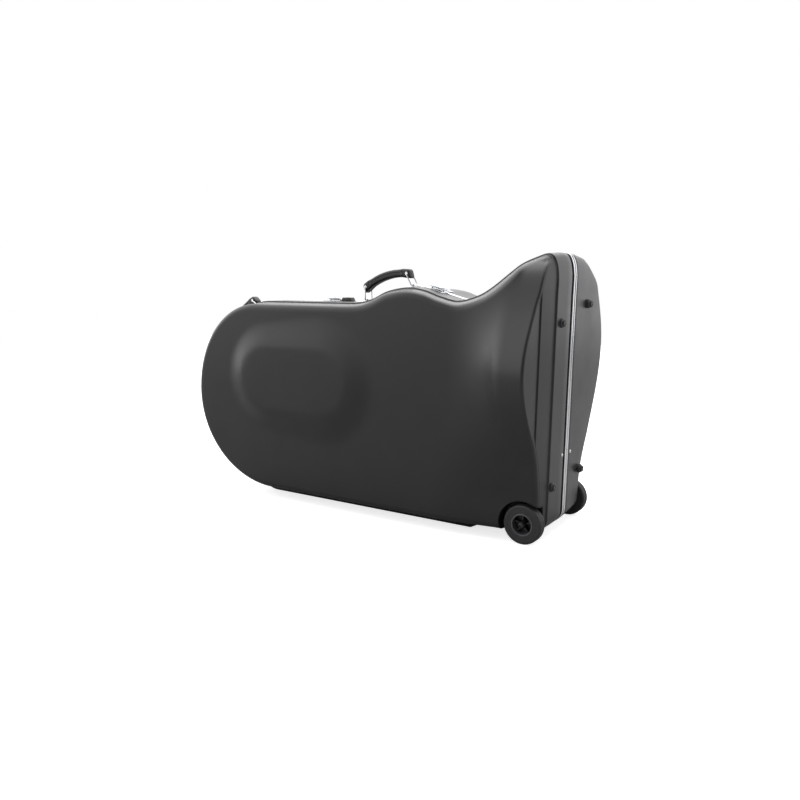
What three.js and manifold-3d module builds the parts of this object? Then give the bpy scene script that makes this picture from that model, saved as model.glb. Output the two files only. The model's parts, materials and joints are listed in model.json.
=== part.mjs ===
// A moulded hard case for a tuba, standing on its long edge, closed and latched.
// Two vacuum-formed shells meet in an aluminium tongue-and-groove frame. The deep front shell
// carries the handles and the latches, the shallower back shell is the lid, hinged along the floor edge.
// Millimetres, +Z up. X runs from the round bow end to the flared bell end, Y from front to back.
// All places below are worked out from the wheel axle (x = 0), the parting plane (y = 0) and the floor
// (z = 0), and the finished group is moved so that its box stands centred on the origin.

import * as THREE from 'three';
import { mergeVertices } from 'three/addons/utils/BufferGeometryUtils.js';
import Module from 'manifold-3d';

const wasm = await Module();
wasm.setup();

// Driving sizes of the moulded body
const bodyLength = 1128; // bow end to bell end, at the floor
const bellEndX = 38.4; // body wall of the bell end, from the axle
const floorGap = 27; // body's bottom wall over the floor
const bodyHeight = 546; // straight part, bottom wall to top wall
const bowTopRun = 240; // half axis of the upper quarter of the bow end
const bowBottomRun = 290; // half axis of the lower quarter
const endLeanShare = 0.0185; // how far the bell end leans out, per height
const floorCorner = 32; // radius of the bell end's lower corner
const humpX = -327; // crest of the handle hump at the front edge
const humpRun = 160;
const humpRise = 43;
const valleyX = -171;
const valleyRise = 11;
const flareRun = 201; // valley to the top of the bell end
const flareRise = 118;
const bellCornerRun = 21;
const bellCornerDrop = 46;
const crownDrop = 4; // the bell end's top falls this much over one belt width
const hillShift = 60; // hump and valley lie further to the bow end at the parting plane
const hillShiftDepth = 187;

// The two shells
const wall = 4;
const edgeRadius = 16;
const frontDepth = 187;
const backDepth = 127;
const beltWidth = 113; // raised band beside the parting plane, front shell
const beltProud = 5.5;
const beltEase = 1.2;
const draft = 2;
const grooveDepth = 3; // dark groove between the front belt and the frame
const grooveWidth = 7;
const fitGap = 0.3;

// The bell bulge on each side, a flat band that flares away towards the bow end
const frontBulge = 85;
const backBulge = 117;
const frontBulgeZ = 428;
const backBulgeZ = 462;
const frontBulgeReach = 238;
const backBulgeReachDown = 390;
const backBulgeReachUp = 330;
const bandEndX = -30;
const bandFlareRun = 170;
const shoulderTaper = 52; // the front wall draws in towards the bell end's top
const backShoulderTaper = 40;
const heelTaper = 24; // and towards its foot
const shoulderRun = 70;
const shoulderLowZ = 565;
const shoulderHighZ = 690;
const backShoulderLowZ = 622;
const heelLowZ = 95;
const heelHighZ = 260;
const heelRun = 240;

// The raised oval over the tuba's bow
const ovalRun = 391.6; // bow end to its middle
const ovalHeight = 346; // bottom wall to its middle
const ovalHalfLength = 175;
const ovalRadius = 80;
const ovalRamp = 84;
const ovalRise = 18;

// The aluminium frame
const frontFrameWidth = 12;
const backFrameWidth = 9;
const frameProud = 1.5;
const frameThick = 8;
const frameSeam = 0.5; // half the dark seam between the two profiles
const tongueThick = 2;
const tongueReach = 3.4;
const tongueInset = 3.5; // tongue's outer face, under the frame's outer face
const tongueRoom = 1.3;

// Wheels
const wheelRadius = 50;
const treadWidth = 28;
const wheelSetback = 1.5; // front wheel's outer face, behind the shell's foot
const rimRadius = 29;
const rimLip = 5;
const rimInset = 2;
const hubRadius = 9.5;
const hubProud = 3;
const spokeCount = 5;
const spokeWidth = 7;
const spokeInset = 7;
const axleRadius = 4;
const axleRun = 0.3;
const headRadius = 7;
const headHeight = 4;
const nutHeight = 6;
const nutRoom = 0.9;
const wellRadius = 63;
const wellWall = 2.5;
const wellRoom = 7; // free depth behind the wheel
const bossRadius = 15;
const bossHeight = 6.2;

// Runners
const runnerY = 95;
const runnerWidth = 34;
const runnerRun = 205.6; // bow end to the runner's nose
const runnerEndX = -142;
const runnerBevel = 4;
const runnerNose = 46;
const runnerTail = 26;

// Rubber feet on the bell end
const footRadius = 8.5;
const footCollarRadius = 11.5;
const footCollar = 4;
const footHeight = 9;
const frontFeetShares = [[0.417, 0.938], [0.492, 0.2]]; // of the shell's depth and the body's height
const backFeetShares = [[0.803, 1.013], [0.772, 0.216]];

// Rivets of the inner lid stay
const stayZ = 206;
const stayFrontY = -33;
const stayBackY = 21;
const rivetRadius = 4.5;
const rivetHeight = 2;

// Hinges under the parting plane
const hingeShares = [0.292, 0.576, 0.86]; // of the body's length, from the bow end
const hingeLength = 60;
const hingeZ = 14.5;
const knuckleRadius = 4;
const hingePinRadius = 1.6;
const pinRun = 0.1;
const leafThick = 2;
const leafReach = 34;
const leafWeb = 15;
const knuckleGap = 0.4;

// Handles
const handleY = -32;
const gripEnd = 10.8; // past each ring's eye
const gripHeight = 26;
const gripWidth = 26;
const gripBevel = 5;
const gripSag = 13;
const ringWire = 1.8;
const ringReach = 36; // pivot to pivot
const ringLean = THREE.MathUtils.degToRad(14);
const ringSide = 3; // leg's middle, outside the grip's side
const ringRun = 0.45;
const eyeRun = 0.95; // the right ring's wider eye, which takes up the linkage's play
const eyeRadius = 4.6;
const eyeThick = 1.2;
const saddleLength = 34;
const saddleWidth = 15;
const saddleThick = 1.8;
const saddlePivot = 5;
const carryLeftRun = 219; // back from the hump's crest
const carryRightRun = 65;
const towLeftRun = 26.6; // from the bow end
const towRightRun = 137.6;

// Latches
const latchLength = 62;
const latchPlate = 1.8;
const latchDepth = 27;
const latchPivotY = -15.5;
const latchPivotZ = 6;
const latchPinRadius = 1.5;
const earThick = 1.8;
const leverWidth = 34;
const leverThick = 1.8;
const linkArm = 9; // lever pivot to link pivot
const linkWire = 1.3;
const linkReachY = 10.5;
const keeperStart = 9.8;
const keeperDepth = 17;
const keeperNose = 1.2;
const lockRoom = 42; // from the lock to the carry handle's left saddle
const latchRoom = 3; // from the lock to the latch beside it
const lockLength = 38;
const lockHeight = 11;
const lockDepth = 22;

// Foam inside
const plushGap = 0.5;
const foamFrontStart = 14;
const bellBlockX = -250;
const bellBlockWidth = 60;
const throatRadius = 104;
const throatZ = 430;
const endPadThick = 12;
const bowBlockRun = 184.6; // from the bow end
const bowRadius = 172;
const bowCentreRun = 227.6;
const railEndX = -330;
const railTopDepth = 73; // below the body's top wall
const railBottomDepth = 85; // over its bottom wall

// How finely the outline and the faces are divided
const columns = 22;
const rows = 12;
const stationCount = 2 * (columns + rows);
const beltSteps = 1200;
const overrun = 5;
const tiny = 0.02;

const topZ = floorGap + bodyHeight;
const frameOuter = beltProud + frameProud;
const frontWheelFace = frontDepth - heelTaper - wheelSetback;
const backWheelFace = backDepth + bossHeight + fitGap + treadWidth;
const wellBack = frontWheelFace - treadWidth - wellRoom;
const bowEndX = bellEndX - bodyLength;
const bowCentreZ = floorGap + bodyHeight / 2;
const ovalX = bowEndX + ovalRun;
const ovalZ = floorGap + ovalHeight;

function material(color, roughness, metalness = 0) {
  return new THREE.MeshStandardMaterial({ color, roughness, metalness });
}

const shellPlastic = () => material(0x3f3f42, 0.55);
const aluminium = () => material(0xd9dadc, 0.32, 0.9);
const chrome = () => material(0xc9cbce, 0.18, 1);
const blackPlastic = () => material(0x17181a, 0.5);
const rubber = () => material(0x1f2022, 0.8);
const steel = () => material(0x8d9094, 0.4, 0.9);
const plush = () => material(0x1c1c20, 1);

// Solids in and out of the boolean library
function toSolid(geometry) {
  const plain = geometry.clone();
  plain.deleteAttribute('normal');
  plain.deleteAttribute('uv');
  const merged = mergeVertices(plain, tiny / 10);
  return new wasm.Manifold(new wasm.Mesh({
    numProp: 3,
    vertProperties: Float32Array.from(merged.attributes.position.array),
    triVerts: Uint32Array.from(merged.index.array),
  }));
}

function toGeometry(solid) {
  const mesh = solid.getMesh();
  const geometry = new THREE.BufferGeometry();
  geometry.setAttribute('position', new THREE.BufferAttribute(Float32Array.from(mesh.vertProperties), 3));
  geometry.setIndex(Array.from(mesh.triVerts));
  geometry.computeVertexNormals();
  return geometry;
}

const union = (...parts) => parts.reduce((sum, part) => sum.add(part));

function boxSolid(x0, x1, y0, y1, z0, z1) {
  const box = new THREE.BoxGeometry(x1 - x0, y1 - y0, z1 - z0);
  return toSolid(box.translate((x0 + x1) / 2, (y0 + y1) / 2, (z0 + z1) / 2));
}

// A round bar from one distance to another along one of the axes, about a point of the other two
function barSolid(axis, radius, from, to, a, b, sides = 16) {
  const bar = new THREE.CylinderGeometry(radius, radius, to - from, sides);
  const middle = (from + to) / 2;
  if (axis === 'x') return toSolid(bar.rotateZ(-Math.PI / 2).translate(middle, a, b));
  if (axis === 'y') return toSolid(bar.translate(a, middle, b));
  return toSolid(bar.rotateX(Math.PI / 2).translate(a, b, middle));
}

// A turned piece about an axis along Y, from a closed loop of [radius, y]
function turned(loop, sides) {
  const points = [...loop, loop[0]].map(([radius, y]) => new THREE.Vector2(radius, y));
  const solid = toSolid(new THREE.LatheGeometry(points, sides));
  return solid.volume() < 0 ? toSolid(flipped(new THREE.LatheGeometry(points, sides))) : solid;
}

function flipped(geometry) {
  const index = geometry.index.array;
  for (let i = 0; i < index.length; i += 3) [index[i], index[i + 1]] = [index[i + 1], index[i]];
  return geometry;
}

// A flat shape in X and Z, pushed along Y from y0 to y1
function slabXZ(shape, y0, y1, bevel = 0, curveSegments = 10) {
  const geometry = new THREE.ExtrudeGeometry(shape, {
    depth: y1 - y0 - 2 * bevel,
    bevelEnabled: bevel > 0,
    bevelThickness: bevel,
    bevelSize: bevel,
    bevelOffset: -bevel,
    bevelSegments: 2,
    curveSegments,
  });
  return geometry.rotateX(Math.PI / 2).translate(0, y1 - bevel, 0);
}

function polygon(points) {
  return new THREE.Shape(points.map(([x, y]) => new THREE.Vector2(x, y)));
}

const smooth = (low, high, value) => THREE.MathUtils.smoothstep(value, low, high);

// The outline seen from the front: hump, valley, flare and bell corner as one spline.
// Shares of the hump's run and rise, of the flare's run and rise, and how much of the shift each takes.
const humpShares = [[-0.95, 0.04], [-0.68, 0.28], [-0.38, 0.76], [0, 1], [0.33, 0.87], [0.64, 0.5]];
const flareShares = [[0.28, 0.12, 1], [0.48, 0.31, 1], [0.69, 0.62, 0.85], [0.79, 0.8, 0.6],
  [0.9, 0.93, 0.25], [1, 1, 0]];

function endX(z) {
  return bellEndX + endLeanShare * z;
}

function topCurve(y) {
  const shift = -hillShift * Math.max(0, 1 - (y / hillShiftDepth) ** 2);
  const crown = crownDrop * (y / beltWidth) ** 2;
  const points = [new THREE.Vector2(humpX - 1.45 * humpRun, topZ)];
  for (const [run, rise] of humpShares) {
    points.push(new THREE.Vector2(humpX + shift + run * humpRun, topZ + rise * humpRise));
  }
  points.push(new THREE.Vector2(valleyX + shift, topZ + valleyRise));
  for (const [run, rise, share] of flareShares) {
    const z = topZ + valleyRise + rise * (flareRise - crown);
    points.push(new THREE.Vector2(valleyX + share * shift + run * flareRun, z));
  }
  const crestZ = topZ + valleyRise + flareRise - crown;
  const cornerZ = crestZ - bellCornerDrop;
  points.push(new THREE.Vector2(endX(crestZ) - bellCornerRun / 3, crestZ - bellCornerDrop / 3.4));
  points.push(new THREE.Vector2(endX(cornerZ), cornerZ));
  points.push(new THREE.Vector2(endX(cornerZ - bellCornerDrop), cornerZ - bellCornerDrop));
  return new THREE.SplineCurve(points);
}

const splineLast = humpShares.length + flareShares.length + 4;
const cornerKnot = splineLast - 2;

function onSpline(curve, knot) {
  return curve.getPoint(knot / splineLast);
}

function bowPoint(degrees) {
  const angle = THREE.MathUtils.degToRad(degrees);
  const run = degrees <= 180 ? bowTopRun : bowBottomRun;
  const x = bowEndX + run + run * Math.cos(angle);
  return new THREE.Vector2(x, bowCentreZ + bodyHeight / 2 * Math.sin(angle));
}

function floorCornerPoint(degrees) {
  const angle = THREE.MathUtils.degToRad(degrees);
  const z = floorGap + floorCorner + floorCorner * Math.sin(angle);
  const x = endX(floorGap + floorCorner) - floorCorner + floorCorner * Math.cos(angle);
  return new THREE.Vector2(x, z);
}

// The outline's point at a station, counted round from the bow end's lower quarter:
// along the floor, up the bell end, back along the top, down round the bow end.
const bowSteps = 4;
const straightSteps = 3;
const cornerSteps = 2;
const hillSteps = columns - bowSteps - straightSteps;

function outline(station, y) {
  const s = THREE.MathUtils.euclideanModulo(station, stationCount);
  const curve = topCurve(y);
  if (s < columns) return floorSide(s);
  if (s < columns + rows) return bellSide(s - columns, curve);
  if (s < 2 * columns + rows) return topSide(s - columns - rows, curve);
  return bowPoint(135 + 90 * (s - 2 * columns - rows) / rows);
}

function floorSide(s) {
  if (s < bowSteps) return bowPoint(225 + 45 * s / bowSteps);
  const bend = columns - cornerSteps;
  if (s >= bend) return floorCornerPoint(270 + 45 * (s - bend) / cornerSteps);
  const start = bowEndX + bowBottomRun;
  const middle = humpX - 1.45 * humpRun;
  const end = endX(floorGap + floorCorner) - floorCorner;
  if (s < bowSteps + straightSteps) {
    const x = THREE.MathUtils.mapLinear(s, bowSteps, bowSteps + straightSteps, start, middle);
    return new THREE.Vector2(x, floorGap);
  }
  const even = topCurve(hillShiftDepth);
  const knot = (s - bowSteps - straightSteps) * (cornerKnot - 1) / (bend - bowSteps - straightSteps);
  const x = onSpline(even, knot).x;
  const last = onSpline(even, cornerKnot - 1).x;
  return new THREE.Vector2(THREE.MathUtils.mapLinear(x, middle, last, middle, end), floorGap);
}

function bellSide(s, curve) {
  if (s < cornerSteps) return floorCornerPoint(315 + 45 * s / cornerSteps);
  const bend = rows - 3;
  if (s >= bend) return onSpline(curve, splineLast - (s - bend) * (splineLast - cornerKnot) / 3);
  const low = floorGap + floorCorner;
  const high = onSpline(curve, splineLast).y;
  const z = THREE.MathUtils.mapLinear(s, cornerSteps, bend, low, high);
  return new THREE.Vector2(endX(z), z);
}

function topSide(s, curve) {
  if (s < hillSteps) {
    const knot = s < 2 ? cornerKnot - s / 2 : (cornerKnot - 1) * (hillSteps - s) / (hillSteps - 2);
    return onSpline(curve, knot);
  }
  if (s < hillSteps + straightSteps) {
    const start = humpX - 1.45 * humpRun;
    const x = THREE.MathUtils.mapLinear(s, hillSteps, hillSteps + straightSteps, start, bowEndX + bowTopRun);
    return new THREE.Vector2(x, topZ);
  }
  return bowPoint(90 + 45 * (s - hillSteps - straightSteps) / bowSteps);
}

function outward(station, y) {
  const step = 0.08;
  const along = outline(station + step, y).sub(outline(station - step, y)).normalize();
  return new THREE.Vector2(along.y, -along.x);
}

// How far each shell's face stands from the parting plane at a place seen from the front
function waveShare(distance, reach) {
  return distance < reach ? Math.cos(Math.PI / 2 * distance / reach) ** 2 : 0;
}

function bandShare(x) {
  const t = THREE.MathUtils.clamp((x - bandEndX + bandFlareRun) / bandFlareRun, 0, 1);
  return t * t;
}

function ovalShare(x, z) {
  const straight = ovalHalfLength - ovalRadius;
  const dx = Math.max(0, Math.abs(x - ovalX) - straight);
  return 1 - smooth(0, ovalRamp, Math.hypot(dx, z - ovalZ) - ovalRadius);
}

function frontFace(x, z) {
  const climb = THREE.MathUtils.clamp((z - shoulderLowZ) / (shoulderHighZ - shoulderLowZ), 0, 1);
  const shoulder = shoulderTaper * climb ** 2 * smooth(-shoulderRun, 0, x);
  const heel = heelTaper * (1 - smooth(heelLowZ, heelHighZ, z)) * smooth(-heelRun, 0, x);
  const bulge = frontBulge * waveShare(Math.abs(z - frontBulgeZ), frontBulgeReach) * bandShare(x);
  return frontDepth + bulge + ovalRise * ovalShare(x, z) - shoulder - heel;
}

function backFace(x, z) {
  const reach = z < backBulgeZ ? backBulgeReachDown : backBulgeReachUp;
  const shoulder = backShoulderTaper * smooth(backShoulderLowZ, shoulderHighZ, z) * smooth(-shoulderRun, 0, x);
  const bulge = backBulge * waveShare(Math.abs(z - backBulgeZ), reach) * bandShare(x);
  return backDepth + bulge + ovalRise * ovalShare(x, z) - shoulder;
}

const front = { side: -1, face: frontFace };
const back = { side: 1, face: backFace };

// One ring of points: each station's outline point, moved out, at a depth from the parting plane
function ring(shell, out, depth) {
  const points = [];
  for (let i = 0; i < stationCount; i += 1) {
    const d = typeof depth === 'function' ? depth(i) : depth;
    const y = shell.side * d;
    const p = outline(i, y).addScaledVector(outward(i, y), out);
    points.push(new THREE.Vector3(p.x, y, p.y));
  }
  return points;
}

// Joins rings, a face patch at one end and a flat cap at the other into one closed solid
function closedSkin(shell, rings, face) {
  const positions = rings.flat().map((p) => p.clone());
  const triangles = [];
  for (let r = 0; r + 1 < rings.length; r += 1) {
    for (let i = 0; i < stationCount; i += 1) {
      const j = (i + 1) % stationCount;
      const a = r * stationCount;
      const b = a + stationCount;
      triangles.push([a + i, b + i, b + j], [a + i, b + j, a + j]);
    }
  }
  patch(positions, triangles, (rings.length - 1) * stationCount, face);
  const middle = positions.push(new THREE.Vector3(bellBlockX, rings[0][0].y, bowCentreZ)) - 1;
  for (let i = 0; i < stationCount; i += 1) triangles.push([middle, i, (i + 1) % stationCount]);
  return skinSolid(positions, triangles);
}

function skinSolid(positions, triangles) {
  const geometry = new THREE.BufferGeometry();
  geometry.setAttribute('position', new THREE.Float32BufferAttribute(positions.flatMap((p) => p.toArray()), 3));
  geometry.setIndex(triangles.flat());
  const solid = toSolid(geometry);
  return solid.volume() > 0 ? solid : toSolid(flipped(geometry));
}

// Fills the last ring with a grid whose sides are the ring's four sides
function patch(positions, triangles, first, face) {
  const edge = (i, j) => {
    if (j === 0) return first + i;
    if (i === columns) return first + columns + j;
    if (j === rows) return first + 2 * columns + rows - i;
    return first + 2 * columns + 2 * rows - j;
  };
  const grid = [];
  for (let i = 0; i <= columns; i += 1) {
    grid.push([]);
    for (let j = 0; j <= rows; j += 1) {
      if (i === 0 || j === 0 || i === columns || j === rows) {
        grid[i].push(edge(i, j));
      } else {
        const p = blended(positions, edge, i, j);
        p.y = face(p.x, p.z);
        grid[i].push(positions.push(p) - 1);
      }
    }
  }
  for (let i = 0; i < columns; i += 1) {
    for (let j = 0; j < rows; j += 1) {
      const [a, b, c, d] = [grid[i][j], grid[i + 1][j], grid[i + 1][j + 1], grid[i][j + 1]];
      triangles.push([a, c, b], [a, d, c]);
    }
  }
}

function blended(positions, edge, i, j) {
  const u = i / columns;
  const v = j / rows;
  const at = (a, b) => positions[edge(a, b)];
  const p = new THREE.Vector3();
  p.addScaledVector(at(i, 0), 1 - v).addScaledVector(at(i, rows), v);
  p.addScaledVector(at(0, j), 1 - u).addScaledVector(at(columns, j), u);
  p.addScaledVector(at(0, 0), -(1 - u) * (1 - v)).addScaledVector(at(columns, 0), -u * (1 - v));
  p.addScaledVector(at(0, rows), -(1 - u) * v).addScaledVector(at(columns, rows), -u * v);
  return p;
}

// The rounded edge and the face, inset from the mould's outer skin
function roundedFace(shell, inset, turns) {
  const radius = edgeRadius - inset;
  const depths = [];
  for (let i = 0; i < stationCount; i += 1) {
    const guess = shell.side * backDepth;
    const p = outline(i, guess).addScaledVector(outward(i, guess), -edgeRadius);
    depths.push(shell.face(p.x, p.y) - edgeRadius);
  }
  const rings = [];
  for (const turn of turns) {
    const angle = THREE.MathUtils.degToRad(turn);
    const out = -draft - inset - radius * (1 - Math.cos(angle));
    rings.push(ring(shell, out, (i) => depths[i] + radius * Math.sin(angle)));
  }
  return { rings, face: (x, z) => shell.side * (shell.face(x, z) - inset) };
}

// A shell's filled outside, grown by a gap when something has to sit on it
function shellOutside(shell, grow = 0) {
  const isFront = shell.side < 0;
  const frameWidth = isFront ? frontFrameWidth : backFrameWidth;
  const start = frameSeam + frameWidth + fitGap;
  const belt = beltProud + grow;
  const groove = belt - grooveDepth;
  const rim = isFront
    ? [ring(shell, groove, start), ring(shell, groove, start + grooveWidth),
      ring(shell, belt, start + grooveWidth + tiny), ring(shell, belt, beltWidth - beltEase + grow),
      ring(shell, grow, beltWidth + grow)]
    : [ring(shell, belt, start)];
  const round = roundedFace(shell, -grow, [0, 30, 60, 90]);
  return closedSkin(shell, [...rim, ...round.rings], round.face);
}

// A shell's hollow, some distance inside its skin
function shellInside(shell, inset) {
  const rim = ring(shell, -inset / 2 + grooveDepth / 2 - wall / 2, -overrun);
  const round = roundedFace(shell, inset, [0, 45, 90]);
  return closedSkin(shell, [rim, ...round.rings], round.face);
}

function frontShellSolid() {
  const hole = barSolid('y', wellRadius + fitGap, -frontDepth - frontBulge, -wellBack, 0, wheelRadius, 40);
  return shellOutside(front).subtract(shellInside(front, wall)).subtract(hole);
}

function backShellSolid() {
  const hole = barSolid('y', axleRadius + axleRun, 0, backDepth + backBulge, 0, wheelRadius, 12);
  return shellOutside(back).subtract(shellInside(back, wall)).subtract(hole);
}

// The pieces, each a named mesh
const tubaCase = new THREE.Group();

function addPiece(name, solid, finish, parent = tubaCase) {
  const mesh = new THREE.Mesh(toGeometry(solid), finish);
  mesh.name = name;
  parent.add(mesh);
  return mesh;
}

addPiece('front_shell', frontShellSolid(), shellPlastic());
addPiece('back_shell', backShellSolid(), shellPlastic());

// The frame: a closed section carried round the outline
function frameRing(section) {
  const loops = section.map(([out, y]) => {
    const points = [];
    for (let i = 0; i < stationCount; i += 1) {
      const p = outline(i, 0).addScaledVector(outward(i, 0), out);
      points.push(new THREE.Vector3(p.x, y, p.y));
    }
    return points;
  });
  const triangles = [];
  for (let k = 0; k < loops.length; k += 1) {
    for (let i = 0; i < stationCount; i += 1) {
      const j = (i + 1) % stationCount;
      const a = k * stationCount;
      const b = (k + 1) % loops.length * stationCount;
      triangles.push([a + i, b + i, b + j], [a + i, b + j, a + j]);
    }
  }
  return skinSolid(loops.flat(), triangles);
}

const frameInner = frameOuter - frameThick;
const tongueOuter = frameOuter - tongueInset;
const tongueInner = tongueOuter - tongueThick;
const frontFrameSection = [
  [frameOuter, -frameSeam - frontFrameWidth], [frameOuter, -frameSeam], [tongueOuter, -frameSeam],
  [tongueOuter, tongueReach], [tongueInner, tongueReach], [tongueInner, -frameSeam],
  [frameInner, -frameSeam], [frameInner, -frameSeam - frontFrameWidth],
];
const backFrameSection = [
  [frameOuter, frameSeam], [frameOuter, frameSeam + backFrameWidth], [frameInner, frameSeam + backFrameWidth],
  [frameInner, frameSeam], [tongueInner - tongueRoom, frameSeam],
  [tongueInner - tongueRoom, tongueReach + tongueRoom], [tongueOuter + tongueRoom, tongueReach + tongueRoom],
  [tongueOuter + tongueRoom, frameSeam],
];
addPiece('front_frame_profile', frameRing(frontFrameSection), aluminium());
addPiece('back_frame_profile', frameRing(backFrameSection), aluminium());

// Foam blocks, shaped by the inside of the shell that holds them
function addFoam(prefix, shell) {
  const room = shellInside(shell, wall + plushGap);
  const side = shell.side;
  const low = side < 0 ? -frontDepth - frontBulge : foamFrontStart;
  const high = side < 0 ? -foamFrontStart : backDepth + backBulge;
  const height = topZ + flareRise + humpRise;
  const fit = (solid) => solid.intersect(room);
  const bellBlockEnd = bellBlockX + bellBlockWidth;
  const throat = barSolid('x', throatRadius, bellBlockX - overrun, bellBlockEnd + overrun, 0, throatZ, 32);
  const bell = boxSolid(bellBlockX, bellBlockEnd, low, high, 0, height).subtract(throat);
  addPiece(`${prefix}_bell_block`, fit(bell), plush());
  const wellTop = wheelRadius + wellRadius + overrun;
  const padStart = endX(wellTop) - draft - edgeRadius - endPadThick;
  const endPad = boxSolid(padStart, padStart + 4 * endPadThick, low, high, wellTop, topZ);
  addPiece(`${prefix}_end_pad`, fit(endPad), plush());
  const bow = barSolid('y', bowRadius, low - overrun, high + overrun, bowEndX + bowCentreRun, bowCentreZ, 28);
  const bowBlock = boxSolid(bowEndX, bowEndX + bowBlockRun, low, high, 0, height).subtract(bow);
  addPiece(`${prefix}_bow_block`, fit(bowBlock), plush());
  const railStartX = bowEndX + bowBottomRun;
  const upperRail = boxSolid(railStartX, railEndX, low, high, topZ - railTopDepth, height);
  addPiece(`${prefix}_upper_rail`, fit(upperRail), plush());
  const lowerRail = boxSolid(railStartX, railEndX, low, high, 0, floorGap + railBottomDepth);
  addPiece(`${prefix}_lower_rail`, fit(lowerRail), plush());
}

addFoam('front', front);
addFoam('back', back);

// What sits on a shell is cut back to a small gap over that shell's skin
const frontSkin = shellOutside(front, fitGap);
const backSkin = shellOutside(back, fitGap);

// Runners under both shells
function runner(side, skin) {
  const shape = new THREE.Shape();
  const runnerStartX = bowEndX + runnerRun;
  shape.moveTo(runnerStartX + runnerNose, 0);
  shape.lineTo(runnerEndX - runnerTail, 0);
  shape.lineTo(runnerEndX, runnerTail / 2);
  shape.lineTo(runnerEndX, floorGap + runnerTail / 2);
  shape.lineTo(runnerStartX, floorGap + runnerTail / 2);
  shape.lineTo(runnerStartX, floorGap - runnerTail / 4);
  shape.quadraticCurveTo(runnerStartX + runnerNose / 4, 0, runnerStartX + runnerNose, 0);
  const y = side * runnerY;
  const keel = toSolid(slabXZ(shape, y - runnerWidth / 2, y + runnerWidth / 2, runnerBevel, 6));
  return keel.subtract(skin);
}

addPiece('front_runner', runner(-1, frontSkin), blackPlastic());
addPiece('back_runner', runner(1, backSkin), blackPlastic());

// Wheels: solid tyre, spoked rim, and an axle bolt through whatever wall carries the wheel
function wheelSet(prefix, side, faceDepth, carrierDepth) {
  const y = (inset) => side * (faceDepth - inset);
  const curb = rimLip / 4;
  const tyre = turned([
    [rimRadius, y(0)], [wheelRadius - rimLip, y(0)], [wheelRadius - curb, y(curb)],
    [wheelRadius, y(rimLip)], [wheelRadius, y(treadWidth - rimLip)],
    [wheelRadius - curb, y(treadWidth - curb)], [wheelRadius - rimLip, y(treadWidth)],
    [rimRadius, y(treadWidth)],
  ], 32);
  const flange = rimRadius - fitGap;
  const hoop = turned([[flange, y(-rimInset / 2)], [flange, y(treadWidth)], [flange - rimLip, y(treadWidth)],
    [flange - rimLip, y(-rimInset / 2)]], 24);
  const bore = axleRadius + axleRun;
  const hub = turned([[hubRadius, y(-hubProud)], [hubRadius, y(treadWidth)], [bore, y(treadWidth)],
    [bore, y(-hubProud)]], 16);
  const spokes = [];
  const spokeStart = (bore + hubRadius) / 2;
  const spokeEnd = flange - rimLip / 2;
  for (let i = 0; i < spokeCount; i += 1) {
    const spoke = new THREE.BoxGeometry(spokeWidth, treadWidth / 2, spokeEnd - spokeStart);
    spoke.translate(0, y(spokeInset + treadWidth / 4), (spokeEnd + spokeStart) / 2);
    spokes.push(toSolid(spoke.rotateY(2 * Math.PI * i / spokeCount)));
  }
  const rim = union(hoop, hub, ...spokes);
  const headStart = -hubProud - fitGap;
  const nutStart = faceDepth - carrierDepth + fitGap;
  const bolt = turned([[0, y(headStart - headHeight)], [headRadius, y(headStart - headHeight)],
    [headRadius, y(headStart)], [axleRadius, y(headStart)], [axleRadius, y(nutStart)], [headRadius, y(nutStart)],
    [headRadius, y(nutStart + nutHeight)], [0, y(nutStart + nutHeight)]], 12);
  const wheel = new THREE.Group();
  wheel.position.z = wheelRadius;
  tubaCase.add(wheel);
  addPiece(`${prefix}_tyre`, tyre, rubber(), wheel);
  addPiece(`${prefix}_wheel_rim`, rim, blackPlastic(), wheel);
  addPiece(`${prefix}_axle`, bolt, steel(), wheel);
}

wheelSet('front', -1, frontWheelFace, wellBack);
wheelSet('back', 1, backWheelFace, backDepth - wall - nutRoom);

// The front wheel's well: a cup clipped to the shell's outside, open below, in front and at the bell end
const well = turned([
  [axleRadius + axleRun / 3, -wellBack - wellWall], [wellRadius - wellWall, -wellBack - wellWall],
  [wellRadius - wellWall, -frontDepth - frontBulge], [wellRadius, -frontDepth - frontBulge],
  [wellRadius, -wellBack], [axleRadius + axleRun / 3, -wellBack],
], 40).translate([0, 0, wheelRadius]);
addPiece('front_wheel_well', well.intersect(shellOutside(front, -fitGap)), blackPlastic());

const bossStart = backDepth + bossHeight;
const backBoss = turned([
  [axleRadius + axleRun / 3, backDepth - overrun], [bossRadius, backDepth - overrun], [bossRadius, backDepth + 1],
  [headRadius + 1, bossStart], [axleRadius + axleRun / 3, bossStart],
], 20).translate([0, 0, wheelRadius]);
addPiece('back_wheel_boss', backBoss.subtract(backSkin), blackPlastic());

// Rubber feet and rivets on the bell end, their backs cut to the wall
function onBellEnd(name, loop, finish, y, z, skin) {
  const solid = turned([[0, -overrun], [loop[0][0], -overrun], ...loop], 14);
  const placed = solid.rotate([0, 0, -90]).translate([endX(z) + beltProud, y, z]);
  addPiece(name, placed.subtract(skin), finish);
}

const footLoop = [[footCollarRadius, footCollar], [footRadius, footCollar],
  [footRadius * 0.92, footHeight - footRadius / 4], [footRadius * 0.7, footHeight], [0, footHeight]];
const rivetLoop = [[rivetRadius, rivetHeight / 2], [rivetRadius * 0.7, rivetHeight], [0, rivetHeight]];
const footNames = ['upper', 'lower'];

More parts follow.
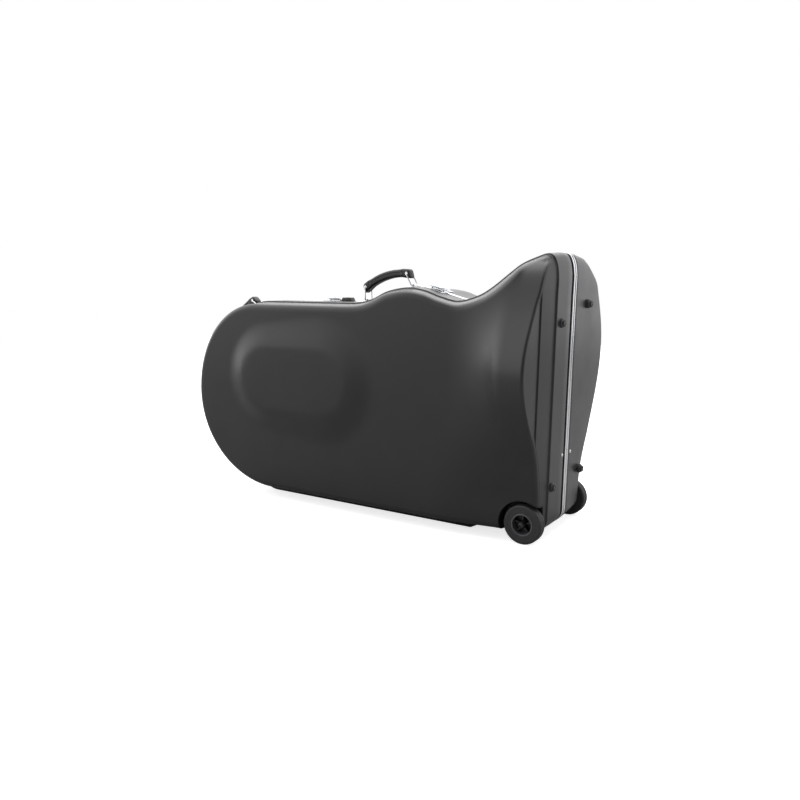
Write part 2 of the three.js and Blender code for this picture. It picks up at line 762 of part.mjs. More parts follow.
frontFeetShares.forEach(([depth, height], i) => {
  const z = floorGap + bodyHeight * height;
  onBellEnd(`front_foot_${footNames[i]}`, footLoop, rubber(), -frontDepth * depth, z, frontSkin);
});
backFeetShares.forEach(([depth, height], i) => {
  const z = floorGap + bodyHeight * height;
  onBellEnd(`back_foot_${footNames[i]}`, footLoop, rubber(), backDepth * depth, z, backSkin);
});
onBellEnd('front_stay_rivet', rivetLoop, chrome(), stayFrontY, stayZ, frontSkin);
onBellEnd('back_stay_rivet', rivetLoop, chrome(), stayBackY, stayZ, backSkin);

// Hinges: leaves under the belts, knuckles below the frame
function leafSolid(side, knuckles) {
  const y = (a, b) => (side < 0 ? [-b, -a] : [a, b]);
  const half = hingeLength / 2;
  const plateLow = floorGap - beltProud - fitGap - leafThick;
  const webTop = floorGap - frameOuter - fitGap;
  const parts = [
    boxSolid(-half, half, ...y(leafWeb, leafReach), plateLow, floorGap + overrun),
    boxSolid(-half, half, ...y(leafWeb - leafThick, leafWeb + leafThick), webTop - leafThick, webTop),
  ];
  for (const [x0, x1] of knuckles) {
    parts.push(boxSolid(x0, x1, ...y(0, leafWeb), webTop - leafThick, webTop));
    parts.push(barSolid('x', knuckleRadius, x0, x1, 0, hingeZ, 12));
  }
  const bore = barSolid('x', hingePinRadius + pinRun, -hingeLength, hingeLength, 0, hingeZ, 10);
  return union(...parts).subtract(bore);
}

hingeShares.forEach((share, i) => {
  const place = (solid) => solid.translate([bowEndX + bodyLength * share, 0, 0]);
  const half = hingeLength / 2;
  const inner = hingeLength / 6;
  const sides = [[-half, -inner - knuckleGap / 2], [inner + knuckleGap / 2, half]];
  const middle = [[-inner + knuckleGap / 2, inner - knuckleGap / 2]];
  addPiece(`hinge_${i + 1}_front_leaf`, place(leafSolid(-1, sides)).subtract(frontSkin), steel());
  addPiece(`hinge_${i + 1}_back_leaf`, place(leafSolid(1, middle)).subtract(backSkin), steel());
  addPiece(`hinge_${i + 1}_pin`, place(barSolid('x', hingePinRadius, -half, half, 0, hingeZ, 10)), steel());
});

// The belt's edge along the top and the upper bow end, as places with a running length
function beltLine(y) {
  const line = [];
  let length = 0;
  for (let i = 0; i <= beltSteps; i += 1) {
    const station = columns + rows + (columns + rows / 2) * i / beltSteps;
    const out = outward(station, y);
    const p = outline(station, y).addScaledVector(out, beltProud);
    if (i > 0) length += p.distanceTo(line.at(-1).p);
    line.push({ p, out, length });
  }
  return line;
}

// A place on that line near an x, and what lies a length further on towards the bell end
function beltSpot(x, y) {
  const line = beltLine(y);
  const miss = line.map(({ p }) => Math.abs(p.x - x));
  const home = line[miss.indexOf(Math.min(...miss))];
  const away = (distance) => {
    const wanted = home.length - distance;
    const gaps = line.map(({ length }) => Math.abs(length - wanted));
    return line[gaps.indexOf(Math.min(...gaps))];
  };
  return { ...home, away, tilt: Math.atan2(home.out.x, home.out.y) };
}

// Moves a solid made about the origin, with z outward, to a spot
function placed(solid, { p, tilt }) {
  return solid.rotate([0, THREE.MathUtils.radToDeg(tilt), 0]).translate([p.x, 0, p.y]);
}

// A strip that follows the belt from y0 to y1, from below its skin to a thickness over it
function beltStrip(spot, from, to, y0, y1, thick) {
  const steps = 4;
  const inner = [];
  const outer = [];
  for (let i = 0; i <= steps; i += 1) {
    const { p, out } = spot.away(THREE.MathUtils.lerp(from, to, i / steps));
    inner.push(p.clone().addScaledVector(out, -overrun));
    outer.unshift(p.clone().addScaledVector(out, fitGap + thick));
  }
  return toSolid(slabXZ(new THREE.Shape([...inner, ...outer]), y0, y1));
}

// A wire loop across the case, its legs along z
function wireLoop(width, height, corner, wire) {
  const points = [];
  for (const [sx, sz, start] of [[1, 1, 0], [-1, 1, 90], [-1, -1, 180], [1, -1, 270]]) {
    for (const turn of [0, 45, 90]) {
      const angle = THREE.MathUtils.degToRad(start + turn);
      const x = sx * (width / 2 - corner) + corner * Math.cos(angle);
      const z = height / 2 + sz * (height / 2 - corner) + corner * Math.sin(angle);
      points.push(new THREE.Vector2(x, z));
    }
  }
  const sides = 6;
  const positions = [];
  const triangles = [];
  points.forEach((p, i) => {
    const before = points.at(i - 1);
    const next = (i + 1) % points.length;
    const out = new THREE.Vector2(points[next].y - before.y, before.x - points[next].x).normalize();
    for (let k = 0; k < sides; k += 1) {
      const angle = 2 * Math.PI * k / sides;
      const off = wire * Math.cos(angle);
      positions.push(new THREE.Vector3(wire * Math.sin(angle), p.x + off * out.x, p.y + off * out.y));
      const m = (k + 1) % sides;
      const [a, b, c, d] = [i * sides + k, i * sides + m, next * sides + m, next * sides + k];
      triangles.push([a, b, c], [a, c, d]);
    }
  });
  return skinSolid(positions, triangles);
}

// A handle: an arched grip on two wire rings, each held by a saddle riveted to the belt
function addHandle(prefix, leftX, rightX) {
  const spots = [beltSpot(leftX, handleY), beltSpot(rightX, handleY)];
  const pivots = spots.map(({ p, out }) => p.clone().addScaledVector(out, fitGap + saddlePivot));
  const chord = pivots[1].clone().sub(pivots[0]);
  const rise = Math.atan2(chord.y, chord.x);
  spots.forEach((spot, i) => {
    addPiece(`${prefix}_saddle_${['left', 'right'][i]}`, saddleSolid(spot), chrome());
  });
  const legWidth = gripWidth + 2 * ringSide;
  const eyeAt = gripWidth / 2 + ringRun;
  pivots.forEach((pivot, i) => {
    const loop = wireLoop(legWidth, ringReach, 2.2 * ringWire, ringWire);
    const eyes = [eyeAt, -eyeAt - eyeThick].map((y) => barSolid('y', eyeRadius, y, y + eyeThick, 0, ringReach, 12));
    const mesh = addPiece(`${prefix}_ring_${['left', 'right'][i]}`, union(loop, ...eyes), chrome());
    mesh.rotation.y = (i === 0 ? 1 : -1) * ringLean - rise;
    mesh.position.set(pivot.x, handleY, pivot.y);
  });
  const grip = addPiece(`${prefix}_grip`, gripSolid(chord.length()), blackPlastic());
  const middle = pivots[0].clone().add(pivots[1]).multiplyScalar(0.5);
  const up = ringReach * Math.cos(ringLean);
  grip.rotation.y = -rise;
  grip.position.set(middle.x - up * Math.sin(rise), handleY, middle.y + up * Math.cos(rise));
}

function saddleSolid(spot) {
  const bore = ringWire + ringRun;
  const arch = bore + saddleThick;
  const y0 = handleY - saddleWidth / 2;
  const y1 = handleY + saddleWidth / 2;
  const half = saddleLength / 2;
  const pivot = fitGap + saddlePivot;
  const foot = beltStrip(spot, -half, half, y0, y1, saddleThick);
  const loop = placed(barSolid('y', arch, y0, y1, 0, pivot).add(boxSolid(-arch, arch, y0, y1, -overrun, pivot)), spot);
  const heads = [-1, 1].map((sign) => {
    const end = spot.away(sign * (half + arch) / 2);
    const head = barSolid('z', rivetRadius / 2, -overrun, fitGap + saddleThick + rivetHeight / 2, 0, handleY, 10);
    return placed(head, { ...end, tilt: Math.atan2(end.out.x, end.out.y) });
  });
  const hole = placed(barSolid('y', bore, y0 - overrun, y1 + overrun, 0, pivot, 12), spot);
  return union(foot, loop, ...heads).subtract(hole).subtract(frontSkin);
}

// The grip: rounded sections carried along a shallow arch, thicker round the ring's eyes
function gripSolid(span) {
  const eyes = span / 2 - ringReach * Math.sin(ringLean);
  const half = eyes + gripEnd;
  const steps = 8;
  const arch = (x) => gripSag * (1 - (x / eyes) ** 2);
  const swell = (x) => 0.84 + 0.16 * smooth(0.6, 0.8, Math.abs(x) / half);
  const stops = [[-half, 0.55], [-half + gripBevel / 3, 0.85]];
  for (let i = 0; i <= steps; i += 1) {
    stops.push([THREE.MathUtils.mapLinear(i, 0, steps, gripBevel - half, half - gripBevel), 1]);
  }
  stops.push([half - gripBevel / 3, 0.85], [half, 0.55]);
  const body = lofted(stops.map(([x, scale]) => {
    const width = gripWidth - 2 * gripBevel * (1 - scale);
    return roundedSection(x, arch(x), width, gripHeight * swell(x) * scale, gripBevel * scale);
  }));
  const bore = (run, x) => barSolid('y', ringWire + run, -gripWidth, gripWidth, x, 0, 12);
  return body.subtract(bore(ringRun, -eyes)).subtract(bore(eyeRun, eyes));
}

// A rounded rectangle across the case at one place along it
function roundedSection(x, z, width, height, corner) {
  const points = [];
  for (const [sy, sz, start] of [[1, 1, 0], [-1, 1, 90], [-1, -1, 180], [1, -1, 270]]) {
    for (const turn of [0, 45, 90]) {
      const angle = THREE.MathUtils.degToRad(start + turn);
      const y = sy * (width / 2 - corner) + corner * Math.cos(angle);
      points.push(new THREE.Vector3(x, y, z + sz * (height / 2 - corner) + corner * Math.sin(angle)));
    }
  }
  return points;
}

// Joins sections into one solid with a flat end on the first and the last
function lofted(sections) {
  const count = sections[0].length;
  const positions = sections.flat();
  const triangles = [];
  for (let k = 0; k + 1 < sections.length; k += 1) {
    for (let i = 0; i < count; i += 1) {
      const j = (i + 1) % count;
      const a = k * count;
      const b = a + count;
      triangles.push([a + i, b + i, b + j], [a + i, b + j, a + j]);
    }
  }
  const last = (sections.length - 1) * count;
  const ends = [sections[0], sections.at(-1)].map((section) => positions.push(middleOf(section)) - 1);
  for (let i = 0; i < count; i += 1) {
    const j = (i + 1) % count;
    triangles.push([ends[0], i, j], [ends[1], last + j, last + i]);
  }
  return skinSolid(positions, triangles);
}

function middleOf(points) {
  return points.reduce((sum, p) => sum.add(p), new THREE.Vector3()).divideScalar(points.length);
}

addHandle('carry_handle', humpX - carryLeftRun, humpX - carryRightRun);
addHandle('tow_handle', bowEndX + towLeftRun, bowEndX + towRightRun);

// Latches: base with ears and pin, lever, wire link and keeper
const platePlus = fitGap + latchPlate;
const earIn = leverWidth / 2 + fitGap;
const latchEdge = -frameSeam - frontFrameWidth - fitGap;
const linkY = latchPivotY - linkArm;

function latchBase(spot) {
  const half = latchLength / 2;
  const y0 = latchEdge - latchDepth;
  const plate = beltStrip(spot, -half, half, y0, latchEdge, latchPlate);
  const ears = [-earIn - earThick, earIn].map((x) => boxSolid(x, x + earThick, latchPivotY - 3 * latchPinRadius,
    latchEdge, 0, latchPivotZ + 2 * latchPinRadius));
  const pin = barSolid('x', latchPinRadius, -earIn - earThick, earIn + earThick, latchPivotY, latchPivotZ, 12);
  const heads = [];
  for (const x of [rivetRadius - half, half - rivetRadius]) {
    for (const share of [0.2, 0.7]) heads.push(rivetHead(x, y0 + latchDepth * share));
  }
  return plate.add(placed(union(...ears, pin, ...heads), spot)).subtract(frontSkin);
}

function rivetHead(x, y) {
  return barSolid('z', rivetRadius / 2, 0, platePlus + rivetHeight / 2, x, y, 10);
}

function latchLever() {
  const barrel = latchPinRadius + pinRun + leverThick;
  const half = leverWidth / 2;
  const tail = latchPivotY - latchDepth * 0.8;
  const top = latchPivotZ + barrel;
  const linkBore = linkWire + ringRun;
  const solid = union(boxSolid(-half, half, tail, latchPivotY, top - leverThick, top),
    boxSolid(-half, half, tail, tail + leverThick, top - leverThick, top + leverThick),
    barSolid('x', barrel, -half, half, latchPivotY, latchPivotZ, 16),
    boxSolid(-half, half, linkY - linkBore - leverThick / 2, linkY + linkBore + leverThick / 2, latchPivotZ, top));
  return solid
    .subtract(barSolid('x', latchPinRadius + pinRun, -leverWidth, leverWidth, latchPivotY, latchPivotZ, 12))
    .subtract(barSolid('x', linkBore, -leverWidth, leverWidth, linkY, latchPivotZ, 12));
}

function latchLink() {
  const width = 2 * (earIn + earThick + 2 * linkWire);
  const loop = wireLoop(width, linkReachY - linkY, 2.2 * linkWire, linkWire);
  return loop.rotate([0, 0, -90]).rotate([-90, 0, 0]).translate([0, linkY, latchPivotZ]);
}

function latchKeeper(spot) {
  const half = latchLength * 0.4;
  const start = keeperStart + fitGap;
  const plate = beltStrip(spot, -half, half, start, start + keeperDepth, latchPlate);
  const hook = boxSolid(-half / 2, half / 2, start, start + 2 * latchPlate, 0, platePlus + keeperNose);
  const heads = [-half * 0.75, half * 0.75].map((x) => rivetHead(x, start + keeperDepth * 0.6));
  return plate.add(placed(union(hook, ...heads), spot)).subtract(backSkin);
}

const lockX = humpX - carryLeftRun - (saddleLength + lockLength) / 2 - lockRoom;
const latchX = lockX - (lockLength + latchLength) / 2 - latchRoom;
[latchX, humpX].forEach((x, i) => {
  const spot = beltSpot(x, latchPivotY);
  addPiece(`latch_${i + 1}_base`, latchBase(spot), chrome());
  addPiece(`latch_${i + 1}_lever`, placed(latchLever(), spot), chrome());
  addPiece(`latch_${i + 1}_link`, placed(latchLink(), spot), chrome());
  addPiece(`latch_${i + 1}_keeper`, latchKeeper(spot), chrome());
});

// The black lock housing beside the first latch
const lockSpot = beltSpot(lockX, latchPivotY);
const lockFlank = lockHeight / 2;
const lockShape = polygon([[-lockLength / 2, -overrun], [lockLength / 2, -overrun], [lockLength / 2, 0],
  [lockLength / 2 - lockFlank, lockHeight], [lockFlank - lockLength / 2, lockHeight], [-lockLength / 2, 0]]);
const lock = toSolid(slabXZ(lockShape, latchEdge - lockDepth, latchEdge, lockFlank / 4));
addPiece('lock_housing', placed(lock, lockSpot).subtract(frontSkin), blackPlastic());

// The finished case, its box centred over the origin and standing on the floor
const wholeCase = new THREE.Group();
wholeCase.add(tubaCase);
wholeCase.updateMatrixWorld(true);
const box = new THREE.Box3().setFromObject(tubaCase, true);
tubaCase.position.set(-(box.min.x + box.max.x) / 2, -(box.min.y + box.max.y) / 2, 0);
wholeCase.updateMatrixWorld(true);

export default wholeCase;
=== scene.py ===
import functools
import json
import math

import bpy
from mathutils import Matrix, Vector


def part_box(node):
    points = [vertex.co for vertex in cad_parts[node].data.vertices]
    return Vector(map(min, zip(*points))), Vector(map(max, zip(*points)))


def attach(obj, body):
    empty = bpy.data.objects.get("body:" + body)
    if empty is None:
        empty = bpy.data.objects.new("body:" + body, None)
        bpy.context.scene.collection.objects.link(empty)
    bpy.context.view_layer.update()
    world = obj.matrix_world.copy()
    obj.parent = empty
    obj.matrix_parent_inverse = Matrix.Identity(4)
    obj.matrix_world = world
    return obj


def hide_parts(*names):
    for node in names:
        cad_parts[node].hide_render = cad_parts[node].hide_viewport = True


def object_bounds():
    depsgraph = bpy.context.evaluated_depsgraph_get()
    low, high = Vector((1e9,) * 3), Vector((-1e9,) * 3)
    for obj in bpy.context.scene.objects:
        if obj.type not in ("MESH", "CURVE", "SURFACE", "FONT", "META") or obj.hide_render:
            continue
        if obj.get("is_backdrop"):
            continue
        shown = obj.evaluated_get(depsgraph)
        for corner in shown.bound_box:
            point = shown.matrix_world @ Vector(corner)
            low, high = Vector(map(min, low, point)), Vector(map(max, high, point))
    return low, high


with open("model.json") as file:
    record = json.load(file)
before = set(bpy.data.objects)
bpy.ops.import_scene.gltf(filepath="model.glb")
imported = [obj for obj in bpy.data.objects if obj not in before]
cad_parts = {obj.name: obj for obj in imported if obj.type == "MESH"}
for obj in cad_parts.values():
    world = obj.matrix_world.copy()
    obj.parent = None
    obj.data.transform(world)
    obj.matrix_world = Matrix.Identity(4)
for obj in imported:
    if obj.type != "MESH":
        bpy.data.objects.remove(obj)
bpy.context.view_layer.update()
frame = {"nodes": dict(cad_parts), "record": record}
nodes = frame["nodes"]
bodyOf = {node: body for body, members in frame["record"]["behaviour"]["bodies"].items() for node in members}
mm = 0.001

# The case is measured in millimetres from the wheel axle (x), the parting plane (y) and the floor (z)
tongueReach = 3.4
tyreLow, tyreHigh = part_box("front_tyre")
originX = (tyreLow.x + tyreHigh.x) / 2
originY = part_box("front_frame_profile")[1].y - tongueReach * mm
toRow = Matrix.Translation((originX, originY, 0))


def clearSelection():
    if bpy.context.object and bpy.context.object.mode != "OBJECT":
        bpy.ops.object.mode_set(mode="OBJECT")
    bpy.ops.object.select_all(action="DESELECT")


def pick(piece):
    clearSelection()
    bpy.context.view_layer.objects.active = piece
    piece.select_set(True)


# Opens a piece in edit mode with all of it selected
def edit(piece):
    pick(piece)
    bpy.ops.object.mode_set(mode="EDIT")
    bpy.ops.mesh.select_all(action="SELECT")


def meshPiece(name, points, faces, edges=()):
    mesh = bpy.data.meshes.new(name)
    mesh.from_pydata([tuple(length * mm for length in point) for point in points], list(edges), faces)
    piece = bpy.data.objects.new(name, mesh)
    bpy.context.scene.collection.objects.link(piece)
    return piece


def modify(piece, kind, **settings):
    pick(piece)
    modifier = piece.modifiers.new(kind.title(), kind)
    for name, value in settings.items():
        setattr(modifier, name, value)
    bpy.ops.object.modifier_apply(modifier=modifier.name)


def roundEdges(piece, width, segments=3, angle=30):
    modify(piece, "BEVEL", width=width * mm, segments=segments, limit_method="ANGLE",
           angle_limit=math.radians(angle), harden_normals=False)


def merge(piece, distance=0.0005):
    edit(piece)
    bpy.ops.mesh.remove_doubles(threshold=distance * mm)
    bpy.ops.mesh.dissolve_degenerate(threshold=distance * mm)
    bpy.ops.mesh.normals_make_consistent(inside=False)
    bpy.ops.object.mode_set(mode="OBJECT")
    return piece


def placedBy(piece, matrix):
    piece.data.transform(matrix)
    return piece


def shiftMm(x, y, z):
    return Matrix.Translation((x * mm, y * mm, z * mm))


def turned(degrees, axis):
    return Matrix.Rotation(math.radians(degrees), 4, axis)


def primitivePlaced(name):
    piece = bpy.context.object
    piece.name = name
    bpy.ops.object.transform_apply(location=True, rotation=True, scale=True)
    return piece


def block(name, low, high, edge=0.0, segments=3):
    clearSelection()
    bpy.ops.mesh.primitive_cube_add(size=1, location=[(a + b) / 2 * mm for a, b in zip(low, high)],
                                    scale=[(b - a) * mm for a, b in zip(low, high)])
    piece = primitivePlaced(name)
    if edge:
        roundEdges(piece, edge, segments)
    return piece


# A round bar along an axis from start to end; beside and above are its other two coordinates
def bar(name, axis, radius, start, end, beside, above, sides=32, edge=0.0):
    clearSelection()
    middle, quarter = (start + end) / 2, math.pi / 2
    place = {"x": (middle, beside, above), "y": (beside, middle, above), "z": (beside, above, middle)}[axis]
    turn = {"x": (0, quarter, 0), "y": (quarter, 0, 0), "z": (0, 0, 0)}[axis]
    bpy.ops.mesh.primitive_cylinder_add(vertices=sides, radius=radius * mm, depth=(end - start) * mm,
                                        location=[length * mm for length in place], rotation=turn)
    piece = primitivePlaced(name)
    if edge:
        roundEdges(piece, edge, 2, 50)
    return piece


# A closed loop of (radius, along), spun round the y axis
def spun(name, loop, steps):
    points = [(radius, along, 0) for radius, along in loop]
    piece = meshPiece(name, points, [], [(i, (i + 1) % len(loop)) for i in range(len(loop))])
    edit(piece)
    bpy.ops.mesh.spin(steps=steps, angle=2 * math.pi, center=(0, 0, 0), axis=(0, 1, 0))
    return merge(piece)


# A flat outline of (x, y, z), pulled out into a solid
def extruded(name, outline, way):
    piece = meshPiece(name, outline, [tuple(range(len(outline)))])
    edit(piece)
    bpy.ops.mesh.extrude_region_move(TRANSFORM_OT_translate={"value": [length * mm for length in way]})
    return merge(piece)


def cut(piece, tool, operation="DIFFERENCE"):
    modify(piece, "BOOLEAN", object=tool, operation=operation, solver="EXACT")
    bpy.data.objects.remove(tool)
    return piece


def joined(name, parts):
    pick(parts[0])
    for part in parts:
        part.select_set(True)
    bpy.ops.object.join()
    parts[0].name = name
    return parts[0]


# A copy of a CAD node to work on, its loose triangles merged
def copyOfNode(nodeName, ending, distance):
    piece = nodes[nodeName].copy()
    piece.data = nodes[nodeName].data.copy()
    piece.name = f"{nodeName}_{ending}"
    piece.parent = None
    bpy.context.scene.collection.objects.link(piece)
    piece.hide_render = piece.hide_viewport = False
    for key in list(piece.keys()):
        del piece[key]
    return merge(piece, distance)


def mixed(a, b, share):
    return a + (b - a) * share


def eased(low, high, value):
    t = min(max((value - low) / (high - low), 0), 1)
    return t * t * (3 - 2 * t)


def arc(across, up, radius, start, end, steps):
    turns = [math.radians(start + (end - start) * i / steps) for i in range(steps + 1)]
    return [(across + radius * math.cos(turn), up + radius * math.sin(turn)) for turn in turns]


# The four corners of a rounded rectangle about the origin, each a line of points, from the upper right one on
def roundCorners(halfWidth, halfHeight, radius, steps):
    return [arc(side * (halfWidth - radius), level * (halfHeight - radius), radius, start, start + 90, steps)
            for side, level, start in ((1, 1, 0), (-1, 1, 90), (-1, -1, 180), (1, -1, 270))]


# Side faces between the points of each section and the next, all of the same count
def bandFaces(count, sections, closed):
    faces = []
    for k in range(sections if closed else sections - 1):
        a, b = k * count, (k + 1) % sections * count
        faces += [(a + i, a + (i + 1) % count, b + (i + 1) % count, b + i) for i in range(count)]
    return faces


# Gives a piece its finish, its body and the CAD nodes it stands for, which it hides
def finished(piece, body, replaced, material, smoothAngle=35, shift=True):
    if shift:
        piece.data.transform(toRow)
    if material:
        piece.data.materials.clear()
        piece.data.materials.append(material)
    pick(piece)
    bpy.ops.object.shade_smooth_by_angle(angle=math.radians(smoothAngle))
    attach(piece, body)
    if replaced:
        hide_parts(*replaced)
    return piece


def linearColour(text):
    channels = [int(text[i:i + 2], 16) / 255 for i in (1, 3, 5)]
    return [c / 12.92 if c <= 0.04045 else ((c + 0.055) / 1.055) ** 2.4 for c in channels] + [1]


def addNode(tree, kind, settings=None, inputs=None, links=None):
    node = tree.nodes.new(kind)
    for name, value in (settings or {}).items():
        setattr(node, name, value)
    for name, value in (inputs or {}).items():
        node.inputs[name].default_value = value
    for name, source in (links or {}).items():
        tree.links.new(source, node.inputs[name])
    return node


# A finish whose shade and roughness drift a little, over driftSize mm, under a grain of grainSize mm
def newMaterial(name, look):
    material = bpy.data.materials.new(name)
    material.use_nodes = True
    tree = material.node_tree
    shader = tree.nodes["Principled BSDF"]
    for socket, value in look.get("shader", {}).items():
        shader.inputs[socket].default_value = value
    places = addNode(tree, "ShaderNodeTexCoord").outputs["Object"]
    drift = addNode(tree, "ShaderNodeTexNoise", links={"Vector": places}, inputs={
        "Scale": 1000 / look["driftSize"], "Detail": 4.0, "Roughness": 0.55}).outputs["Fac"]
    shade = addNode(tree, "ShaderNodeMix", {"data_type": "RGBA"}, links={"Factor": drift})
    shade.inputs["A"].default_value = linearColour(look["colours"][0])
    shade.inputs["B"].default_value = linearColour(look["colours"][1])
    tree.links.new(shade.outputs["Result"], shader.inputs["Base Color"])
    low, high = look["roughness"]
    rough = addNode(tree, "ShaderNodeMapRange", links={"Value": drift}, inputs={
        "From Min": 0.3, "From Max": 0.7, "To Min": low, "To Max": high})
    tree.links.new(rough.outputs["Result"], shader.inputs["Roughness"])
    grain = addNode(tree, "ShaderNodeTexNoise", links={"Vector": places}, inputs={
        "Scale": 1000 / look["grainSize"], "Detail": 3.0, "Roughness": 0.6}).outputs["Fac"]
    bump = addNode(tree, "ShaderNodeBump", links={"Height": grain}, inputs={
        "Strength": look["grainStrength"], "Distance": look["grainDepth"] * mm})
    tree.links.new(bump.outputs["Normal"], shader.inputs["Normal"])
    return material


# Vacuum-formed ABS with a fine matt leather grain: a soft, wide sheen and no mirror. The grain is drawn at
# 2.2 mm, coarser than the real one, so that it shows.
mouldedAbs = newMaterial("mouldedAbs", {
    "colours": ("#1c1c1f", "#212124"), "roughness": (0.33, 0.39), "driftSize": 90, "grainSize": 2.2,
    "grainStrength": 0.2, "grainDepth": 0.12, "shader": {"IOR": 1.5, "Specular IOR Level": 0.38}})
# Near-black moulded ABS on the groove beside the frame and on the wheel well, darker than the shell: painted
# shade for the shadow in them, dull, as no light reaches it
paintedShadeAbs = newMaterial("absPaintedShade", {
    "colours": ("#0c0c0d", "#101011"), "roughness": (0.5, 0.6), "driftSize": 40, "grainSize": 0.8,
    "grainStrength": 0.2, "grainDepth": 0.05})
# Clear anodised aluminium extrusion: a pale satin metal with fine drawing marks
anodisedAluminium = newMaterial("anodisedAluminium", {
    "colours": ("#d2d3d6", "#dcdde0"), "roughness": (0.14, 0.2), "driftSize": 30, "grainSize": 4,
    "grainStrength": 0.02, "grainDepth": 0.02, "shader": {"Metallic": 1.0}})
# Bright nickel-chromed steel sheet and wire: close to a mirror
chromedSteel = newMaterial("chromedSteel", {
    "colours": ("#c8cacd", "#d6d8da"), "roughness": (0.1, 0.17), "driftSize": 12, "grainSize": 0.6,
    "grainStrength": 0.04, "grainDepth": 0.02, "shader": {"Metallic": 1.0}})
# Zinc-plated steel: a duller grey metal
zincSteel = newMaterial("zincPlatedSteel", {
    "colours": ("#85888c", "#989b9f"), "roughness": (0.32, 0.45), "driftSize": 9, "grainSize": 0.5,
    "grainStrength": 0.08, "grainDepth": 0.03, "shader": {"Metallic": 1.0}})
# Black-oxide steel bolts: dark, with a low metal sheen
blackSteel = newMaterial("blackOxideSteel", {
    "colours": ("#3a3b3e", "#45464a"), "roughness": (0.34, 0.46), "driftSize": 7, "grainSize": 0.5,
    "grainStrength": 0.08, "grainDepth": 0.03, "shader": {"Metallic": 1.0}})
# Glass-filled black nylon mouldings: slightly glossy
blackNylon = newMaterial("blackNylon", {
    "colours": ("#111113", "#18181a"), "roughness": (0.34, 0.44), "driftSize": 25, "grainSize": 0.7,
    "grainStrength": 0.15, "grainDepth": 0.04})
# Moulded grey polypropylene of the wheel ring: a waxy half gloss
greyPolypropylene = newMaterial("greyPolypropylene", {
    "colours": ("#434447", "#4b4c4f"), "roughness": (0.36, 0.46), "driftSize": 20, "grainSize": 0.7,
    "grainStrength": 0.12, "grainDepth": 0.04})
# Moulded black rubber: dull, with dust in its pores
blackRubber = newMaterial("blackRubber", {
    "colours": ("#1e1e20", "#28282a"), "roughness": (0.48, 0.6), "driftSize": 15, "grainSize": 0.6,
    "grainStrength": 0.3, "grainDepth": 0.06})
# Short-pile black plush over foam: no gloss, a grey sheen at grazing angles
plushPile = newMaterial("plushPile", {
    "colours": ("#131316", "#1f1f24"), "roughness": (0.9, 1.0), "driftSize": 18, "grainSize": 1.6,
    "grainStrength": 0.8, "grainDepth": 0.7, "shader": {"Sheen Weight": 0.5, "Sheen Roughness": 0.5}})
print("materials ready")

# The outline of the case, seen from the front. The hump and the flare are rows of shares of their run and
# rise, and the flare's third share says how far each place moves with the hill.
caseLine = {
    "bodyLength": 1128, "bellEndX": 38.4, "floorGap": 27, "bodyHeight": 546, "bowTopRun": 240,
    "bowBottomRun": 290, "endLean": 0.0185, "floorCorner": 32, "humpX": -327, "humpRun": 160, "humpRise": 43,
    "hillStart": 1.45, "valleyX": -171, "valleyRise": 11, "flareRun": 201, "flareRise": 118,
    "bellCornerRun": 21, "bellCornerDrop": 46, "crestIn": 3, "crestDown": 3.4, "crownDrop": 4,
    "hillShift": 60, "hillShiftDepth": 187, "beltWidth": 113,
    "hump": [(-0.95, 0.04), (-0.68, 0.28), (-0.38, 0.76), (0, 1), (0.33, 0.87), (0.64, 0.5)],
    "flare": [(0.28, 0.12, 1), (0.48, 0.31, 1), (0.69, 0.62, 0.85), (0.79, 0.8, 0.6), (0.9, 0.93, 0.25),
              (1, 1, 0)],
}
topZ = caseLine["floorGap"] + caseLine["bodyHeight"]
bowEndX = caseLine["bellEndX"] - caseLine["bodyLength"]
bowCentreZ = caseLine["floorGap"] + caseLine["bodyHeight"] / 2
hillStartX = caseLine["humpX"] - caseLine["hillStart"] * caseLine["humpRun"]
columns, rows, fine = 22, 12, 6  # the CAD's stations along and up the case, and the steps each has here
stationCount = 2 * (columns + rows)
ringCount = stationCount * fine
cornerSteps, crestSteps, bowSteps, straightSteps = 2, 3, 4, 3
hillSteps = columns - bowSteps - straightSteps
lastKnot = len(caseLine["hump"]) + len(caseLine["flare"]) + 4
cornerKnot = lastKnot - 2


def endX(z):
    return caseLine["bellEndX"] + caseLine["endLean"] * z


@functools.lru_cache(maxsize=None)
def topKnots(y):
    line, drop = caseLine, caseLine["bellCornerDrop"]
    shift = -line["hillShift"] * max(0, 1 - (y / line["hillShiftDepth"]) ** 2)
    crown = line["crownDrop"] * (y / line["beltWidth"]) ** 2
    valleyZ, rise = topZ + line["valleyRise"], line["flareRise"] - crown
    knots = [(hillStartX, topZ)]
    knots += [(line["humpX"] + shift + run * line["humpRun"], topZ + up * line["humpRise"])
              for run, up in line["hump"]]
    knots.append((line["valleyX"] + shift, valleyZ))
    knots += [(line["valleyX"] + share * shift + run * line["flareRun"], valleyZ + up * rise)
              for run, up, share in line["flare"]]
    crestZ = valleyZ + line["flareRise"] - crown
    knots.append((endX(crestZ) - line["bellCornerRun"] / line["crestIn"], crestZ - drop / line["crestDown"]))
    return knots + [(endX(z), z) for z in (crestZ - drop, crestZ - 2 * drop)]


# A smooth curve through the knots: 2.5 is halfway from the third to the fourth
def onKnots(knots, at):
    last = len(knots) - 1
    first = min(int(at), last)
    t = at - first
    place = []
    for before, a, b, after in zip(*[knots[min(max(first + step, 0), last)] for step in (-1, 0, 1, 2)]):
        leave, arrive = (b - before) / 2, (after - a) / 2
        place.append((2 * a - 2 * b + leave + arrive) * t ** 3
                     + (-3 * a + 3 * b - 2 * leave - arrive) * t * t + leave * t + a)
    return place


